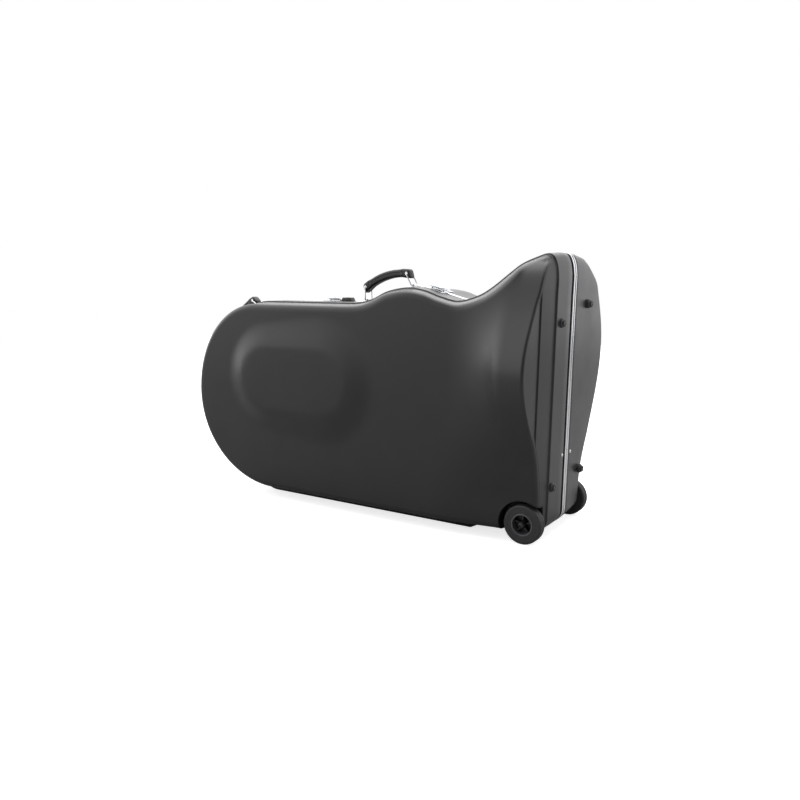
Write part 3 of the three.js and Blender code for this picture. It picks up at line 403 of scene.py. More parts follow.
def bowPoint(degrees):
    run = caseLine["bowTopRun"] if degrees <= 180 else caseLine["bowBottomRun"]
    turn = math.radians(degrees)
    return [bowEndX + run + run * math.cos(turn), bowCentreZ + caseLine["bodyHeight"] / 2 * math.sin(turn)]


def floorCornerPoint(degrees):
    turn, radius = math.radians(degrees), caseLine["floorCorner"]
    low = caseLine["floorGap"] + radius
    return [endX(low) - radius + radius * math.cos(turn), low + radius * math.sin(turn)]


def floorSide(step):
    bend, floorZ, radius = columns - cornerSteps, caseLine["floorGap"], caseLine["floorCorner"]
    if step < bowSteps:
        return bowPoint(225 + 45 * step / bowSteps)
    if step >= bend:
        return floorCornerPoint(270 + 45 * (step - bend) / cornerSteps)
    if step < bowSteps + straightSteps:
        start = bowEndX + caseLine["bowBottomRun"]
        return [mixed(start, hillStartX, (step - bowSteps) / straightSteps), floorZ]
    even = topKnots(caseLine["hillShiftDepth"])
    at = (step - bowSteps - straightSteps) * (cornerKnot - 1) / (bend - bowSteps - straightSteps)
    run = (onKnots(even, at)[0] - hillStartX) / (onKnots(even, cornerKnot - 1)[0] - hillStartX)
    return [mixed(hillStartX, endX(floorZ + radius) - radius, run), floorZ]


def bellSide(step, knots):
    bend = rows - crestSteps
    if step < cornerSteps:
        return floorCornerPoint(315 + 45 * step / cornerSteps)
    if step >= bend:
        return onKnots(knots, lastKnot - (step - bend) * (lastKnot - cornerKnot) / crestSteps)
    low = caseLine["floorGap"] + caseLine["floorCorner"]
    z = mixed(low, onKnots(knots, lastKnot)[1], (step - cornerSteps) / (bend - cornerSteps))
    return [endX(z), z]


def topSide(step, knots):
    if step < 2:
        return onKnots(knots, cornerKnot - step / 2)
    if step < hillSteps:
        return onKnots(knots, (cornerKnot - 1) * (hillSteps - step) / (hillSteps - 2))
    if step < hillSteps + straightSteps:
        return [mixed(hillStartX, bowEndX + caseLine["bowTopRun"], (step - hillSteps) / straightSteps), topZ]
    return bowPoint(90 + 45 * (step - hillSteps - straightSteps) / bowSteps)


# The outline at a station, anticlockwise from under the bow. The hill leans over with depth.
@functools.lru_cache(maxsize=None)
def outlinePoint(station, y):
    step = station % stationCount
    if step < columns:
        return floorSide(step)
    knots = topKnots(y)
    if step < columns + rows:
        return bellSide(step - columns, knots)
    if step < 2 * columns + rows:
        return topSide(step - columns - rows, knots)
    return bowPoint(135 + 90 * (step - 2 * columns - rows) / rows)


@functools.lru_cache(maxsize=None)
def outwardAt(station, y):
    (ax, az), (bx, bz) = outlinePoint(station - 0.08, y), outlinePoint(station + 0.08, y)
    length = math.hypot(bx - ax, bz - az)
    return [(bz - az) / length, -(bx - ax) / length]


# The two moulded shells. The rows of step and beltFoot are small moves in mm: step has how far out, how deep
# and which share of stepIn, and beltFoot how far out and how deep.
mould = {
    "wall": 4, "frontDepth": 187, "backDepth": 127, "draft": 2, "innerRim": -2.5, "fitGap": 0.3,
    "frontFrameWidth": 12, "backFrameWidth": 9, "frameSeam": 0.5,
    "lipProud": 4.4, "lipWidth": 1.4, "lipEase": 0.4, "lipBack": 0.3, "grooveFloor": 1.2, "grooveWidth": 10,
    "grooveEase": 0.5, "beltProud": 5.5, "beltEase": 1, "beltEdge": (2, 2.6),
    "beltFoot": [(2.4, -0.9), (1.9, -0.1), (1.6, 1), (1.4, 2.6)], "backTaper": 0.6, "taperFrom": 12,
    "edgeRadius": 16, "broaden": 1.7, "slopes": (0.2, 0.8), "rimRadius": 6, "leastRadius": 1.5, "near": 12,
    "crispRises": (6, 44), "crispOut": (0.86, 0.99), "crispHeights": (150, 400), "rounds": 6,
    "edgeSteps": 9, "innerSteps": 3, "skinSteps": 4, "stepIn": 2.4, "stepEase": (1, 14), "stepRoom": 1.6,
    "step": [(-1.2, -2.2, 0), (-1.4, -0.9, 0), (-1.5, -0.45, 0.12), (-1.6, -0.1, 0.4), (-1.8, 0.2, 0.9),
             (-1.9, 0.6, 1), (-1.95, 1.2, 1)],
    "frontBulge": 85, "backBulge": 117, "frontBulgeZ": 428, "backBulgeZ": 462, "frontReach": 238,
    "backReachDown": 390, "backReachUp": 330, "bandEndX": -36, "bandFlareRun": 164, "foldShare": 0.77,
    "foldSoft": 0.1, "rimAt": 1.5,
    "shoulder": 52, "shoulderPower": 4, "backShoulder": 40, "shoulderRun": 70, "shoulderLowZ": 565,
    "shoulderHighZ": 690, "backShoulderLowZ": 622, "heel": 24, "heelLowZ": 95, "heelHighZ": 260,
    "heelRun": 240,
    "ovalX": bowEndX + 391.6, "ovalZ": 373, "ovalHalfLength": 175, "ovalRadius": 80, "ovalRise": 15,
    "ovalRamp": 92, "ovalDrop": 12, "ovalTaper": 0.75, "ovalTaperRun": (-140, 100),
}
frontRim = mould["frameSeam"] + mould["frontFrameWidth"] + mould["fitGap"]
backRim = mould["frameSeam"] + mould["backFrameWidth"] + mould["fitGap"]


# The bulge sweeps out along a parabola to a soft fold, and climbs on gently over its band to the rim
def bandShare(x):
    fold, soft, rimAt = mould["foldShare"], mould["foldSoft"], mould["rimAt"]
    t = max((x - mould["bandEndX"] + mould["bandFlareRun"]) / mould["bandFlareRun"], 0)
    if t < 1 - soft:
        return fold * t * t
    steep, gentle = 2 * fold * (1 - soft), (1 - fold * (1 - soft * soft)) / (rimAt - 1)
    run = min(t - 1 + soft, 2 * soft)
    share = fold * (1 - soft) ** 2 + steep * run + (gentle - steep) * run * run / (4 * soft)
    return share + gentle * max(min(t, rimAt) - 1 - soft, 0)


def waveShare(distance, reach):
    return math.cos(math.pi / 2 * distance / reach) ** 2 if distance < reach else 0


# The oval's rise: full inside it, and down a ramp that is crisp at the top and runs out below
def ovalShare(x, z):
    straight = mould["ovalHalfLength"] - mould["ovalRadius"]
    ahead, drop = x - mould["ovalX"], mould["ovalDrop"]
    beyond = math.hypot(max(0, abs(ahead) - straight), z - mould["ovalZ"] + drop) - mould["ovalRadius"] - drop
    ramp = mould["ovalRamp"] * mixed(mould["ovalTaper"], 1, eased(*mould["ovalTaperRun"], ahead))
    t = min(max(beyond / ramp, 0), 1)
    return 0.5 * (1 - t) ** 2 * (1 + 0.5 * t) + 0.5 * (1 - eased(0, 1, t))


def frontFace(x, z):
    climb = (z - mould["shoulderLowZ"]) / (mould["shoulderHighZ"] - mould["shoulderLowZ"])
    shoulder = mould["shoulder"] * min(max(climb, 0), 1) ** mould["shoulderPower"]
    heel = mould["heel"] * (1 - eased(mould["heelLowZ"], mould["heelHighZ"], z))
    bulge = mould["frontBulge"] * waveShare(abs(z - mould["frontBulgeZ"]), mould["frontReach"]) * bandShare(x)
    return (mould["frontDepth"] + bulge + mould["ovalRise"] * ovalShare(x, z)
            - shoulder * eased(-mould["shoulderRun"], 0, x) - heel * eased(-mould["heelRun"], 0, x))


def backFace(x, z):
    reach = mould["backReachDown"] if z < mould["backBulgeZ"] else mould["backReachUp"]
    shoulder = mould["backShoulder"] * eased(mould["backShoulderLowZ"], mould["shoulderHighZ"], z)
    bulge = mould["backBulge"] * waveShare(abs(z - mould["backBulgeZ"]), reach) * bandShare(x)
    return (mould["backDepth"] + bulge + mould["ovalRise"] * ovalShare(x, z)
            - shoulder * eased(-mould["shoulderRun"], 0, x))


# A ring round the case; out and depth are one number, or a list with one for each place
def ringAt(side, out, depth):
    ring = []
    for i in range(ringCount):
        y = side * (depth[i] if isinstance(depth, list) else depth)
        reach = out[i] if isinstance(out, list) else out
        (px, pz), (ox, oz) = outlinePoint(i / fine, y), outwardAt(i / fine, y)
        ring.append((px + reach * ox, y, pz + reach * oz))
    return ring


# The edge between wall and face is an arc that meets both without a crease: soft all round, broad where the
# face climbs away, crisp on the rim of the bell's bulge. The outline changes with depth, so each place is
# found in a few rounds.
@functools.lru_cache(maxsize=None)
def edgeArcs(side, face, inset):
    flat = mould["frontDepth"] if side < 0 else mould["backDepth"]
    near, arcs = mould["near"], []
    for i in range(ringCount):
        depth = mould["backDepth"]
        for _ in range(mould["rounds"]):
            y = side * round(depth, 2)
            (px, pz), (ox, oz) = outlinePoint(i / fine, y), outwardAt(i / fine, y)
            rise = face(px - ox * near, pz - oz * near) - flat
            share = eased(*mould["stepEase"], depth - mould["frontDepth"]) if side < 0 else 0
            out = -mould["draft"] - mould["stepIn"] * share - inset
            corner = face(px + ox * out, pz + oz * out) - inset
            slope = (face(px + ox * (out - near), pz + oz * (out - near)) - inset - corner) / near
            crisp = max(eased(*mould["crispRises"], rise),
                        eased(*mould["crispOut"], ox) * eased(*mould["crispHeights"], pz))
            soft = mould["edgeRadius"] * mixed(1, mould["broaden"], eased(*mould["slopes"], slope))
            radius = max(mixed(soft, mould["rimRadius"], crisp) - inset, mould["leastRadius"])
            turn = math.atan2(1, slope)
            depth = corner - radius * math.tan(turn / 2)
        last, top = out - radius * (1 - math.cos(turn)), depth + radius * math.sin(turn)
        (px, pz), (ox, oz) = outlinePoint(i / fine, side * top), outwardAt(i / fine, side * top)
        miss = face(px + ox * last, pz + oz * last) - inset - top
        arcs.append((out, depth, radius, turn, miss, share))
    return arcs


def edgeRings(side, face, inset, steps):
    rings, arcs = [], edgeArcs(side, face, inset)
    for t in [k / steps for k in range(steps + 1)]:
        outs = [out - radius * (1 - math.cos(turn * t)) for out, _, radius, turn, _, _ in arcs]
        depths = [depth + radius * math.sin(turn * t) + miss * t * t
                  for _, depth, radius, turn, miss, _ in arcs]
        rings.append(ringAt(side, outs, depths))
    return rings


# Where the bulge stands out beyond the front shell's wall, its own side is set in a little. The back wall
# tapers evenly all the way to its edge.
def stepRings(side, face):
    arcs, rings = edgeArcs(side, face, 0), []
    flat = mould["frontDepth"] if side < 0 else mould["backDepth"]
    places = [min(flat, arcRow[1] - mould["stepRoom"]) for arcRow in arcs]
    low, high = backRim + mould["taperFrom"], mould["beltProud"] - mould["backTaper"]
    for out, run, rise in mould["step"] if side < 0 else mould["step"][::3]:
        if side < 0:
            outs = [out - mould["stepIn"] * rise * arcRow[5] for arcRow in arcs]
        else:
            outs = [mixed(high, -mould["draft"], (place + run - low) / (arcRow[1] - low))
                    for arcRow, place in zip(arcs, places)]
        rings.append(ringAt(side, outs, [place + run for place in places]))
    return rings


def borderIndex(first, i, j):
    across, up = columns * fine, rows * fine
    if j == 0:
        return first + i
    if i == across:
        return first + across + j
    return first + (2 * across + up - i if j == up else (ringCount - j) % ringCount)


# Fills a ring with a grid between its four sides, and lays the grid on the face
def addPatch(points, faces, first, side, face, inset):
    across, up = columns * fine, rows * fine
    grid = {}
    for i in range(across + 1):
        for j in range(up + 1):
            if i in (0, across) or j in (0, up):
                grid[i, j] = borderIndex(first, i, j)
                continue
            u, v = i / across, j / up
            weights = [((i, 0), 1 - v), ((i, up), v), ((0, j), 1 - u), ((across, j), u),
                       ((0, 0), -(1 - u) * (1 - v)), ((across, 0), -u * (1 - v)),
                       ((0, up), -(1 - u) * v), ((across, up), -u * v)]
            x, z = [sum(points[borderIndex(first, *corner)][axis] * weight for corner, weight in weights)
                    for axis in (0, 2)]
            grid[i, j] = len(points)
            points.append((x, side * (face(x, z) - inset), z))
    for i in range(across):
        for j in range(up):
            faces.append((grid[i, j], grid[i + 1, j], grid[i + 1, j + 1], grid[i, j + 1]))


# Rings joined into a skin, closed on the face beside the last ring and, with a second inset, beside the first
def skinPiece(name, side, face, rings, insets):
    points = [point for ring in rings for point in ring]
    faces = bandFaces(ringCount, len(rings), False)
    for first, inset in zip(((len(rings) - 1) * ringCount, 0), insets):
        addPatch(points, faces, first, side, face, inset)
    if len(insets) == 1:
        middle = len(points)
        points.append((caseLine["valleyX"], rings[0][0][1], bowCentreZ))
        faces += [((i + 1) % ringCount, i, middle) for i in range(ringCount)]
    return merge(meshPiece(name, points, faces))


# The front shell from the frame over its lip, groove and belt. Each pair is how far out and how deep.
def frontRimPairs():
    lip, floor, belt, end = mould["lipProud"], mould["grooveFloor"], mould["beltProud"], caseLine["beltWidth"]
    ease, back, foot, curl = mould["lipEase"], mould["lipBack"], mould["grooveEase"], mould["beltEase"]
    inner = frontRim + mould["lipWidth"]
    step, (drop, run) = inner + mould["grooveWidth"], mould["beltEdge"]
    pairs = [(lip - ease, frontRim), (lip, frontRim + ease), (lip, inner - back), (lip - back, inner),
             (floor + ease, inner), (floor, inner + ease), (floor, step - foot), (floor + foot, step)]
    pairs += [(belt - curl + math.sin(turn) * curl, step + 0.15 + (1 - math.cos(turn)) * curl)
              for turn in (0, 0.52, 1.05, 1.57)]
    pairs += [(belt, mixed(step + 1.2, end - 6, share / 3)) for share in (1, 2, 3)]
    pairs += [(belt - drop + math.cos(turn) * drop, end - 4 + math.sin(turn) * run)
              for turn in (0, 0.4, 0.8, 1.1)]
    return pairs + [(out, end + depth) for out, depth in mould["beltFoot"]]


def backRimPairs():
    belt, taper = mould["beltProud"], mould["backTaper"]
    return [(belt - taper, backRim), (belt - 0.15, backRim + 0.25), (belt, backRim + 0.8),
            (belt - taper, backRim + mould["taperFrom"])]


def shellMoulding(name, side, face, rimPairs, rim):
    inner = [ringAt(side, mould["innerRim"], rim)] + edgeRings(side, face, mould["wall"], mould["innerSteps"])
    outer = [ringAt(side, out, depth) for out, depth in rimPairs] + stepRings(side, face)
    outer += edgeRings(side, face, 0, mould["edgeSteps"])
    return skinPiece(name, side, face, inner[::-1] + outer, (0, mould["wall"]))


# The filled form of a shell, grown a little, to cut what sits on it
def shellTool(side, face, rimPairs, grow):
    rings = [ringAt(side, out + grow, depth) for out, depth in rimPairs]
    rings += edgeRings(side, face, -grow, mould["skinSteps"])
    return skinPiece("skinTool", side, face, rings, (-grow,))


wheel = {
    "radius": 50, "tread": 28, "faceY": 161.5, "rimRadius": 29, "wellRadius": 63, "wellWall": 2.5,
    "wellBack": 126.5, "wellReach": 300, "hubRadius": 9.5, "hubProud": 3, "headRadius": 7, "boltGap": 0.9,
    "bore": 4.3,
}

frontShell = shellMoulding("frontShellMoulding", -1, frontFace, frontRimPairs(), frontRim)
cut(frontShell, bar("wellTool", "y", wheel["wellRadius"] + 0.3, -wheel["wellReach"], -wheel["wellBack"], 0,
                    wheel["radius"], 128))
frontShell.data.materials.append(mouldedAbs)
frontShell.data.materials.append(paintedShadeAbs)
grooveEnd = frontRim + mould["lipWidth"] + mould["grooveWidth"]
for polygon in frontShell.data.polygons:  # the lip and the groove beside the frame get near-black ABS as painted shade
    if frontRim - 0.1 < -polygon.center.y / mm < grooveEnd + 0.1:
        polygon.material_index = 1
finished(frontShell, "case_body", ["front_shell"], None, 28)
backShell = shellMoulding("backShellMoulding", 1, backFace, backRimPairs(), backRim)
cut(backShell, bar("boreTool", "y", wheel["bore"], 0, wheel["wellReach"], 0, wheel["radius"], 24))
finished(backShell, "lid", ["back_shell"], mouldedAbs, 28)
print("shells moulded")

# A plush liner glued inside each shell, open where the wheel's well and bolt come through
liner = {"inset": 4.05, "thick": 0.35, "rimIn": 4, "rimOut": 1.5}
insets = (liner["inset"], liner["inset"] + liner["thick"])
for name, side, face, rim, body, tool in (
        ("frontLiner", -1, frontFace, frontRim, "case_body",
         (wheel["wellRadius"] + 0.5, -wheel["wellReach"], -wheel["wellBack"] + 2, 0, wheel["radius"], 64)),
        ("backLiner", 1, backFace, backRim, "lid", (9, 0, wheel["wellReach"], 0, wheel["radius"], 24))):
    outer, inner = [
        [ringAt(side, liner["rimOut"] - inset, rim + liner["rimIn"])]
        + edgeRings(side, face, inset, mould["innerSteps"])
        for inset in insets]
    piece = skinPiece(name, side, face, inner[::-1] + outer, insets)
    cut(piece, bar("openingTool", "y", *tool))
    finished(piece, body, [], plushPile, 40)
print("liners glued in")

# Foam blocks under plush: the solids' forms with soft edges, kept behind the liner
foam = {"voxel": 6.5, "smoothing": 8, "room": 5}
for prefix, body, side, face in (("front", "case_body", -1, frontFace), ("back", "lid", 1, backFace)):
    for part in ("bell_block", "end_pad", "bow_block", "upper_rail", "lower_rail"):
        nodeName = f"{prefix}_{part}"
        piece = copyOfNode(nodeName, "plush", 0.01)
        modify(piece, "REMESH", mode="VOXEL", voxel_size=foam["voxel"] * mm)
        modify(piece, "SMOOTH", factor=0.5, iterations=foam["smoothing"])
        for vertex in piece.data.vertices:
            limit = (face((vertex.co.x - originX) / mm, vertex.co.z / mm) - foam["room"]) * mm
            vertex.co.y = originY + side * min(side * (vertex.co.y - originY), limit)
        finished(piece, body, [nodeName], plushPile, 80, shift=False)
print("foam blocks covered")

# The aluminium frame: a tongue on the front profile, its groove in the back one, and a bead along each
profile = {"proud": 5.9, "low": -1, "flange": 3.8, "edge": 0.4, "frontBead": (-11.8, -4.6),
           "backBead": (1.4, 7.0), "beadCorner": 1.2, "beadSteps": 5, "tongueOuter": 3.5, "tongueInner": 1.5,
           "tongueRoom": 1.3}


# A section of (out, y), carried round the outline
def sweptFrame(name, section):
    points = []
    for i in range(ringCount):
        (px, pz), (ox, oz) = outlinePoint(i / fine, 0), outwardAt(i / fine, 0)
        points += [(px + out * ox, y, pz + out * oz) for out, y in section]
    return merge(meshPiece(name, points, bandFaces(len(section), ringCount, True)))


# The raised bead along a profile, from one y to the other, with round corners
def bead(startY, endY):
    top, corner = profile["proud"], profile["beadCorner"]
    turns = [math.pi / 2 * k / profile["beadSteps"] for k in range(profile["beadSteps"] + 1)]
    rise = [(top - corner + corner * math.sin(a), startY + corner - corner * math.cos(a)) for a in turns]
    fall = [(top - corner + corner * math.cos(a), endY - corner + corner * math.sin(a)) for a in turns]
    return [(profile["flange"], startY)] + rise + fall + [(profile["flange"], endY)]


low, flange, edge, room = profile["low"], profile["flange"], profile["edge"], profile["tongueRoom"]
tongueOuter, tongueInner, seamY = profile["tongueOuter"], profile["tongueInner"], mould["frameSeam"]
frontEdgeY, backEdgeY = seamY + mould["frontFrameWidth"], seamY + mould["backFrameWidth"]
frontSection = ([(low, -frontEdgeY), (flange - edge, -frontEdgeY), (flange, -frontEdgeY + edge)]
                + bead(*profile["frontBead"])
                + [(flange, -seamY - edge), (flange - edge, -seamY), (tongueOuter, -seamY),
                   (tongueOuter, tongueReach), (tongueInner, tongueReach), (tongueInner, -seamY),
                   (low, -seamY)])
backSection = ([(low, seamY), (tongueInner - room, seamY), (tongueInner - room, tongueReach + room),
                (tongueOuter + room, tongueReach + room), (tongueOuter + room, seamY), (flange, seamY + 0.35)]
               + bead(*profile["backBead"])
               + [(flange, backEdgeY - edge), (flange - edge, backEdgeY), (low, backEdgeY)])
for prefix, section, body in (("front", frontSection, "case_body"), ("back", backSection, "lid")):
    finished(sweptFrame(f"{prefix}FrameExtrusion", section), body, [f"{prefix}_frame_profile"],
             anodisedAluminium, 30)
print("frame swept")

# The wheels: tyre, grey ring, spoked centre and bolt, as loops of (radius, how far in from the outer face)
tyre = {"inner": [(29.0, 0.6), (29.5, 0.1), (30.2, 0)], "shoulder": 5, "ribs": (33.5, 37.5, 41.5),
        "ribWidth": 0.7, "ribDepth": 0.45, "treadLines": (8.5, 14, 19.5), "lineDepth": 0.7, "lineWidth": 0.8}
rim = {"lip": 4.2, "gap": 0.3, "proud": 1, "spokes": 5, "spokeWidth": 3.2, "spokeInset": 7, "webInset": 20,
       "webThick": 3}


def tyreLoop():
    radius, half, bend = wheel["radius"], tyre["ribWidth"], tyre["shoulder"]
    side = list(tyre["inner"])
    for rib in tyre["ribs"]:
        side += [(rib - half, 0), (rib - half / 2, tyre["ribDepth"]), (rib + half / 2, tyre["ribDepth"]),
                 (rib + half, 0)]
    side += arc(radius - bend, bend, bend, -90, 0, 6)
    lines, floor, wide = [], radius - tyre["lineDepth"], tyre["lineWidth"]
    for inset in tyre["treadLines"]:
        lines += [(radius, inset - wide), (floor, inset - wide / 2), (floor, inset + wide / 2),
                  (radius, inset + wide)]
    return side + lines + [(place, wheel["tread"] - inset) for place, inset in reversed(side)]


def wheelPieces(prefix, side, carrierY):
    def facing(loop):
        return [(radius, side * (wheel["faceY"] - inset)) for radius, inset in loop]

    centre, body, tread = shiftMm(0, 0, wheel["radius"]), bodyOf[f"{prefix}_tyre"], wheel["tread"]
    piece = placedBy(spun(f"{prefix}TyreRubber", facing(tyreLoop()), 96), centre)
    finished(piece, body, [f"{prefix}_tyre"], blackRubber)
    flange, proud = wheel["rimRadius"] - rim["gap"], -rim["proud"]
    inside = flange - rim["lip"]
    hoop = spun(f"{prefix}RimRing", facing([
        (flange, 0.2), (flange - 0.4, -0.7), (flange - 1.2, proud), (inside + 1, proud), (inside + 0.3, -0.7),
        (inside, 0.2), (inside, tread), (flange, tread)]), 96)
    finished(placedBy(hoop, centre), body, [f"{prefix}_wheel_rim"], greyPolypropylene)
    hub, bore, web = wheel["hubRadius"], wheel["bore"], rim["webInset"]
    core = [spun("hubCore", facing([(bore, proud), (6.4, proud), (7.0, -0.4), (7.4, 3), (hub, 8), (hub, 26),
                                    (hub - 0.8, tread), (bore, tread)]), 48)]
    outside, webFar = inside + 0.8, web + rim["webThick"]
    webLoop = [(hub - 1, web), (outside, web), (outside, webFar), (hub - 1, webFar)]
    core.append(spun("rimWeb", facing(webLoop), 64))
    half, spokeEnds = rim["spokeWidth"] / 2, facing([(0, rim["spokeInset"]), (0, web + 1)])
    low, high = sorted(along for _, along in spokeEnds)
    for i in range(rim["spokes"]):
        spoke = block("spoke", (-half, low, hub - 1.5), (half, high, inside + 1), 0.9, 2)
        core.append(placedBy(spoke, Matrix.Rotation(2 * math.pi * i / rim["spokes"], 4, "Y")))
    centrePiece = placedBy(joined(f"{prefix}WheelSpokes", core), centre)
    finished(centrePiece, body, [], blackNylon)
    head, start, nut = wheel["headRadius"], -wheel["hubProud"] - 0.3, wheel["faceY"] - carrierY + 0.3
    bolt = spun(f"{prefix}AxleBolt", facing([
        (0, start - 1.6), (2.6, start - 1.6), (3.0, start - 3.9), (4.2, start - 4), (6.0, start - 3.2),
        (head, start - 1.6), (head, start), (4, start), (4, nut), (head, nut), (head, nut + 6),
        (0, nut + 6)]), 48)
    finished(placedBy(bolt, centre), bodyOf[f"{prefix}_axle"], [f"{prefix}_axle"], blackSteel)


wheelPieces("front", -1, wheel["wellBack"])
wheelPieces("back", 1, mould["backDepth"] - mould["wall"] - wheel["boltGap"])
print("wheels spun")

# The pressed well round the front wheel, and the boss that carries the back one
well = {"bore": 4.1, "corner": 6, "mouthY": -280, "sides": 128}
boss = {"loop": [(4.1, 126), (15, 126), (15, 127.6), (13.5, 129), (8.6, 132.4), (8, 133.2), (4.1, 133.2)]}
wide, backY, wall = wheel["wellRadius"], -wheel["wellBack"], wheel["wellWall"]
cup = spun("frontWheelWellCup", [
    (well["bore"], backY - wall), (wide - well["corner"], backY - wall), (wide - 3.6, backY - 3.6),
    (wide - wall, backY - well["corner"]), (wide - wall, well["mouthY"]), (wide, well["mouthY"]),
    (wide, backY), (well["bore"], backY)], well["sides"])
placedBy(cup, shiftMm(0, 0, wheel["radius"]))
cut(cup, shellTool(-1, frontFace, frontRimPairs(), 0.6), "INTERSECT")
# the well takes the same near-black ABS, painted shade for the dark inside of the well
finished(cup, "case_body", ["front_wheel_well"], paintedShadeAbs)
cone = placedBy(spun("backWheelBossCone", boss["loop"], 48), shiftMm(0, 0, wheel["radius"]))
finished(cone, "lid", ["back_wheel_boss"], blackNylon)

runner = {"y": 95, "width": 34, "start": bowEndX + 205.6, "end": -142, "nose": 46, "tail": 26, "noseSteps": 7,
          "edge": 3.6, "screws": 6, "screwFrom": 90, "screwTo": 50, "screwRadius": 4.2, "screwRoom": 1.4,
          "screwTurn": 0.3}


# A long skid with a curved nose, cut to the shell above it, and its row of cross-head screws
def runnerPiece(prefix, side, body, face, rimPairs):
    start, end, nose, tail = [runner[part] for part in ("start", "end", "nose", "tail")]
    y, lift = side * runner["y"], caseLine["floorGap"] + tail / 2
    startY = y - runner["width"] / 2
    outline = [(start + nose, 0), (end - tail, 0), (end, tail / 2), (end, lift), (start, lift)]
    for t in [k / runner["noseSteps"] for k in range(runner["noseSteps"])]:
        bend = ((start, caseLine["floorGap"] - tail / 4), (start + nose / 4, 0), (start + nose, 0))
        outline.append([(1 - t) ** 2 * a + 2 * t * (1 - t) * b + t * t * c for a, b, c in zip(*bend)])
    piece = extruded(f"{prefix}RunnerSkid", [(x, startY, z) for x, z in outline], (0, runner["width"], 0))
    roundEdges(piece, runner["edge"], 5, 40)
    places = [mixed(start + runner["screwFrom"], end - runner["screwTo"], k / (runner["screws"] - 1))
              for k in range(runner["screws"])]
    for x in places:
        cut(piece, bar("screwTool", "z", runner["screwRadius"] + runner["screwRoom"], -5, 4.5, x, y, 32))
    cut(piece, shellTool(side, face, rimPairs, mould["fitGap"]))
    finished(piece, body, [f"{prefix}_runner"], blackNylon)
    heads = []
    for k, x in enumerate(places):
        head = bar("screwHead", "z", runner["screwRadius"], 2.4, 6, x, y, 32, 0.6)
        for turn in (0, math.pi / 2):
            slot = block("slotTool", (-3, -0.5, 1), (3, 0.5, 3.4))
            turnedSlot = shiftMm(x, y, 0) @ Matrix.Rotation(turn + runner["screwTurn"] * k, 4, "Z")
            cut(head, placedBy(slot, turnedSlot))
        heads.append(head)
    finished(joined(f"{prefix}RunnerSkidScrews", heads), body, [], zincSteel)


runnerPiece("front", -1, "case_body", frontFace, frontRimPairs())
runnerPiece("back", 1, "lid", backFace, backRimPairs())
print("runners laid")

# Rubber feet and rivets on the bell end. Each foot's place is a share of its shell's depth and of the height.
foot = {"radius": 8.5, "collar": 11.5, "height": 9,
        "places": {"front": [(-0.417, 0.938), (-0.492, 0.2)], "back": [(0.803, 1.013), (0.772, 0.216)]},
        "screwLoop": [(0, 5.5), (3, 5.5), (3, 7.6), (2.4, 8.1), (0, 8.3)]}
collar, tip, footTop = foot["collar"], foot["radius"], foot["height"]
footLoop = [(0, -4), (collar, -4), (collar, 2.2), (collar - 0.5, 3.2), (collar - 1.5, 3.8), (9.4, 4),
            (8.9, 4.5), (tip, 7), (7.9, 8.4), (6.8, footTop), (3.6, footTop), (3.2, 7.2), (0, 7.2)]
rivet = {"z": 206, "frontY": -33, "backY": 21,
         "loop": [(0, -1.5), (4.5, -1.5), (4.5, 0.5), (4.2, 1.1), (3.2, 1.7), (1.6, 2), (0, 2)]}


def onBellEnd(name, loop, y, z):
    return placedBy(spun(name, loop, 40), shiftMm(endX(z) + mould["beltProud"], y, z) @ turned(-90, "Z"))


for prefix, body in (("front", "case_body"), ("back", "lid")):
    for (yShare, zShare), level in zip(foot["places"][prefix], ("upper", "lower")):
        y, z = yShare * mould[f"{prefix}Depth"], caseLine["floorGap"] + caseLine["bodyHeight"] * zShare
        rubber = onBellEnd(f"{prefix}Foot{level.title()}", footLoop, y, z)
        finished(rubber, body, [f"{prefix}_foot_{level}"], blackRubber)
        screw = onBellEnd(f"{prefix}FootScrew{level.title()}", foot["screwLoop"], y, z)
        finished(screw, body, [], zincSteel)
    stay = onBellEnd(f"{prefix}StayRivet", rivet["loop"], rivet[f"{prefix}Y"], rivet["z"])
    finished(stay, body, [f"{prefix}_stay_rivet"], chromedSteel)
print("feet and rivets set")

# The hinges are the CAD's leaves and pins with their edges eased
hinge = {"count": 3, "parts": ("front_leaf", "back_leaf", "pin"), "edge": 0.25}
for nodeName in [f"hinge_{i + 1}_{part}" for i in range(hinge["count"]) for part in hinge["parts"]]:
    leaf = copyOfNode(nodeName, "steel", 0.005)
    modify(leaf, "DECIMATE", decimate_type="DISSOLVE", angle_limit=math.radians(3))
    roundEdges(leaf, hinge["edge"], 2, 50)
    finished(leaf, bodyOf[nodeName], [nodeName], zincSteel, 40, shift=False)
print("hinges eased")


# The top of the belt from the bell to the bow: places, outward ways and the running length
@functools.lru_cache(maxsize=None)
def beltLine(y):
    line, length, steps = [], 0.0, 1200
    for i in range(steps + 1):
        station = columns + rows + (columns + rows / 2) * i / steps
        (px, pz), (ox, oz) = outlinePoint(station, y), outwardAt(station, y)
        place = (px + ox * mould["beltProud"], pz + oz * mould["beltProud"])
        if line:
            length += math.dist(place, line[-1][0])
        line.append((place, (ox, oz), length))
    return line


def beltSpot(x, y):
    (px, pz), (ox, oz), length = min(beltLine(y), key=lambda entry: abs(entry[0][0] - x))
    return {"y": y, "length": length,
            "matrix": shiftMm(px, 0, pz) @ Matrix.Rotation(math.atan2(ox, oz), 4, "Y")}


def beltAway(spot, distance):
    line, wanted = beltLine(spot["y"]), spot["length"] - distance
    low, high = 0, len(line) - 1
    while high - low > 1:
        middle = (low + high) // 2
        low, high = (middle, high) if line[middle][2] <= wanted else (low, middle)
    t = (wanted - line[low][2]) / (line[high][2] - line[low][2])
    return [[mixed(a, b, t) for a, b in zip(line[low][part], line[high][part])] for part in (0, 1)]


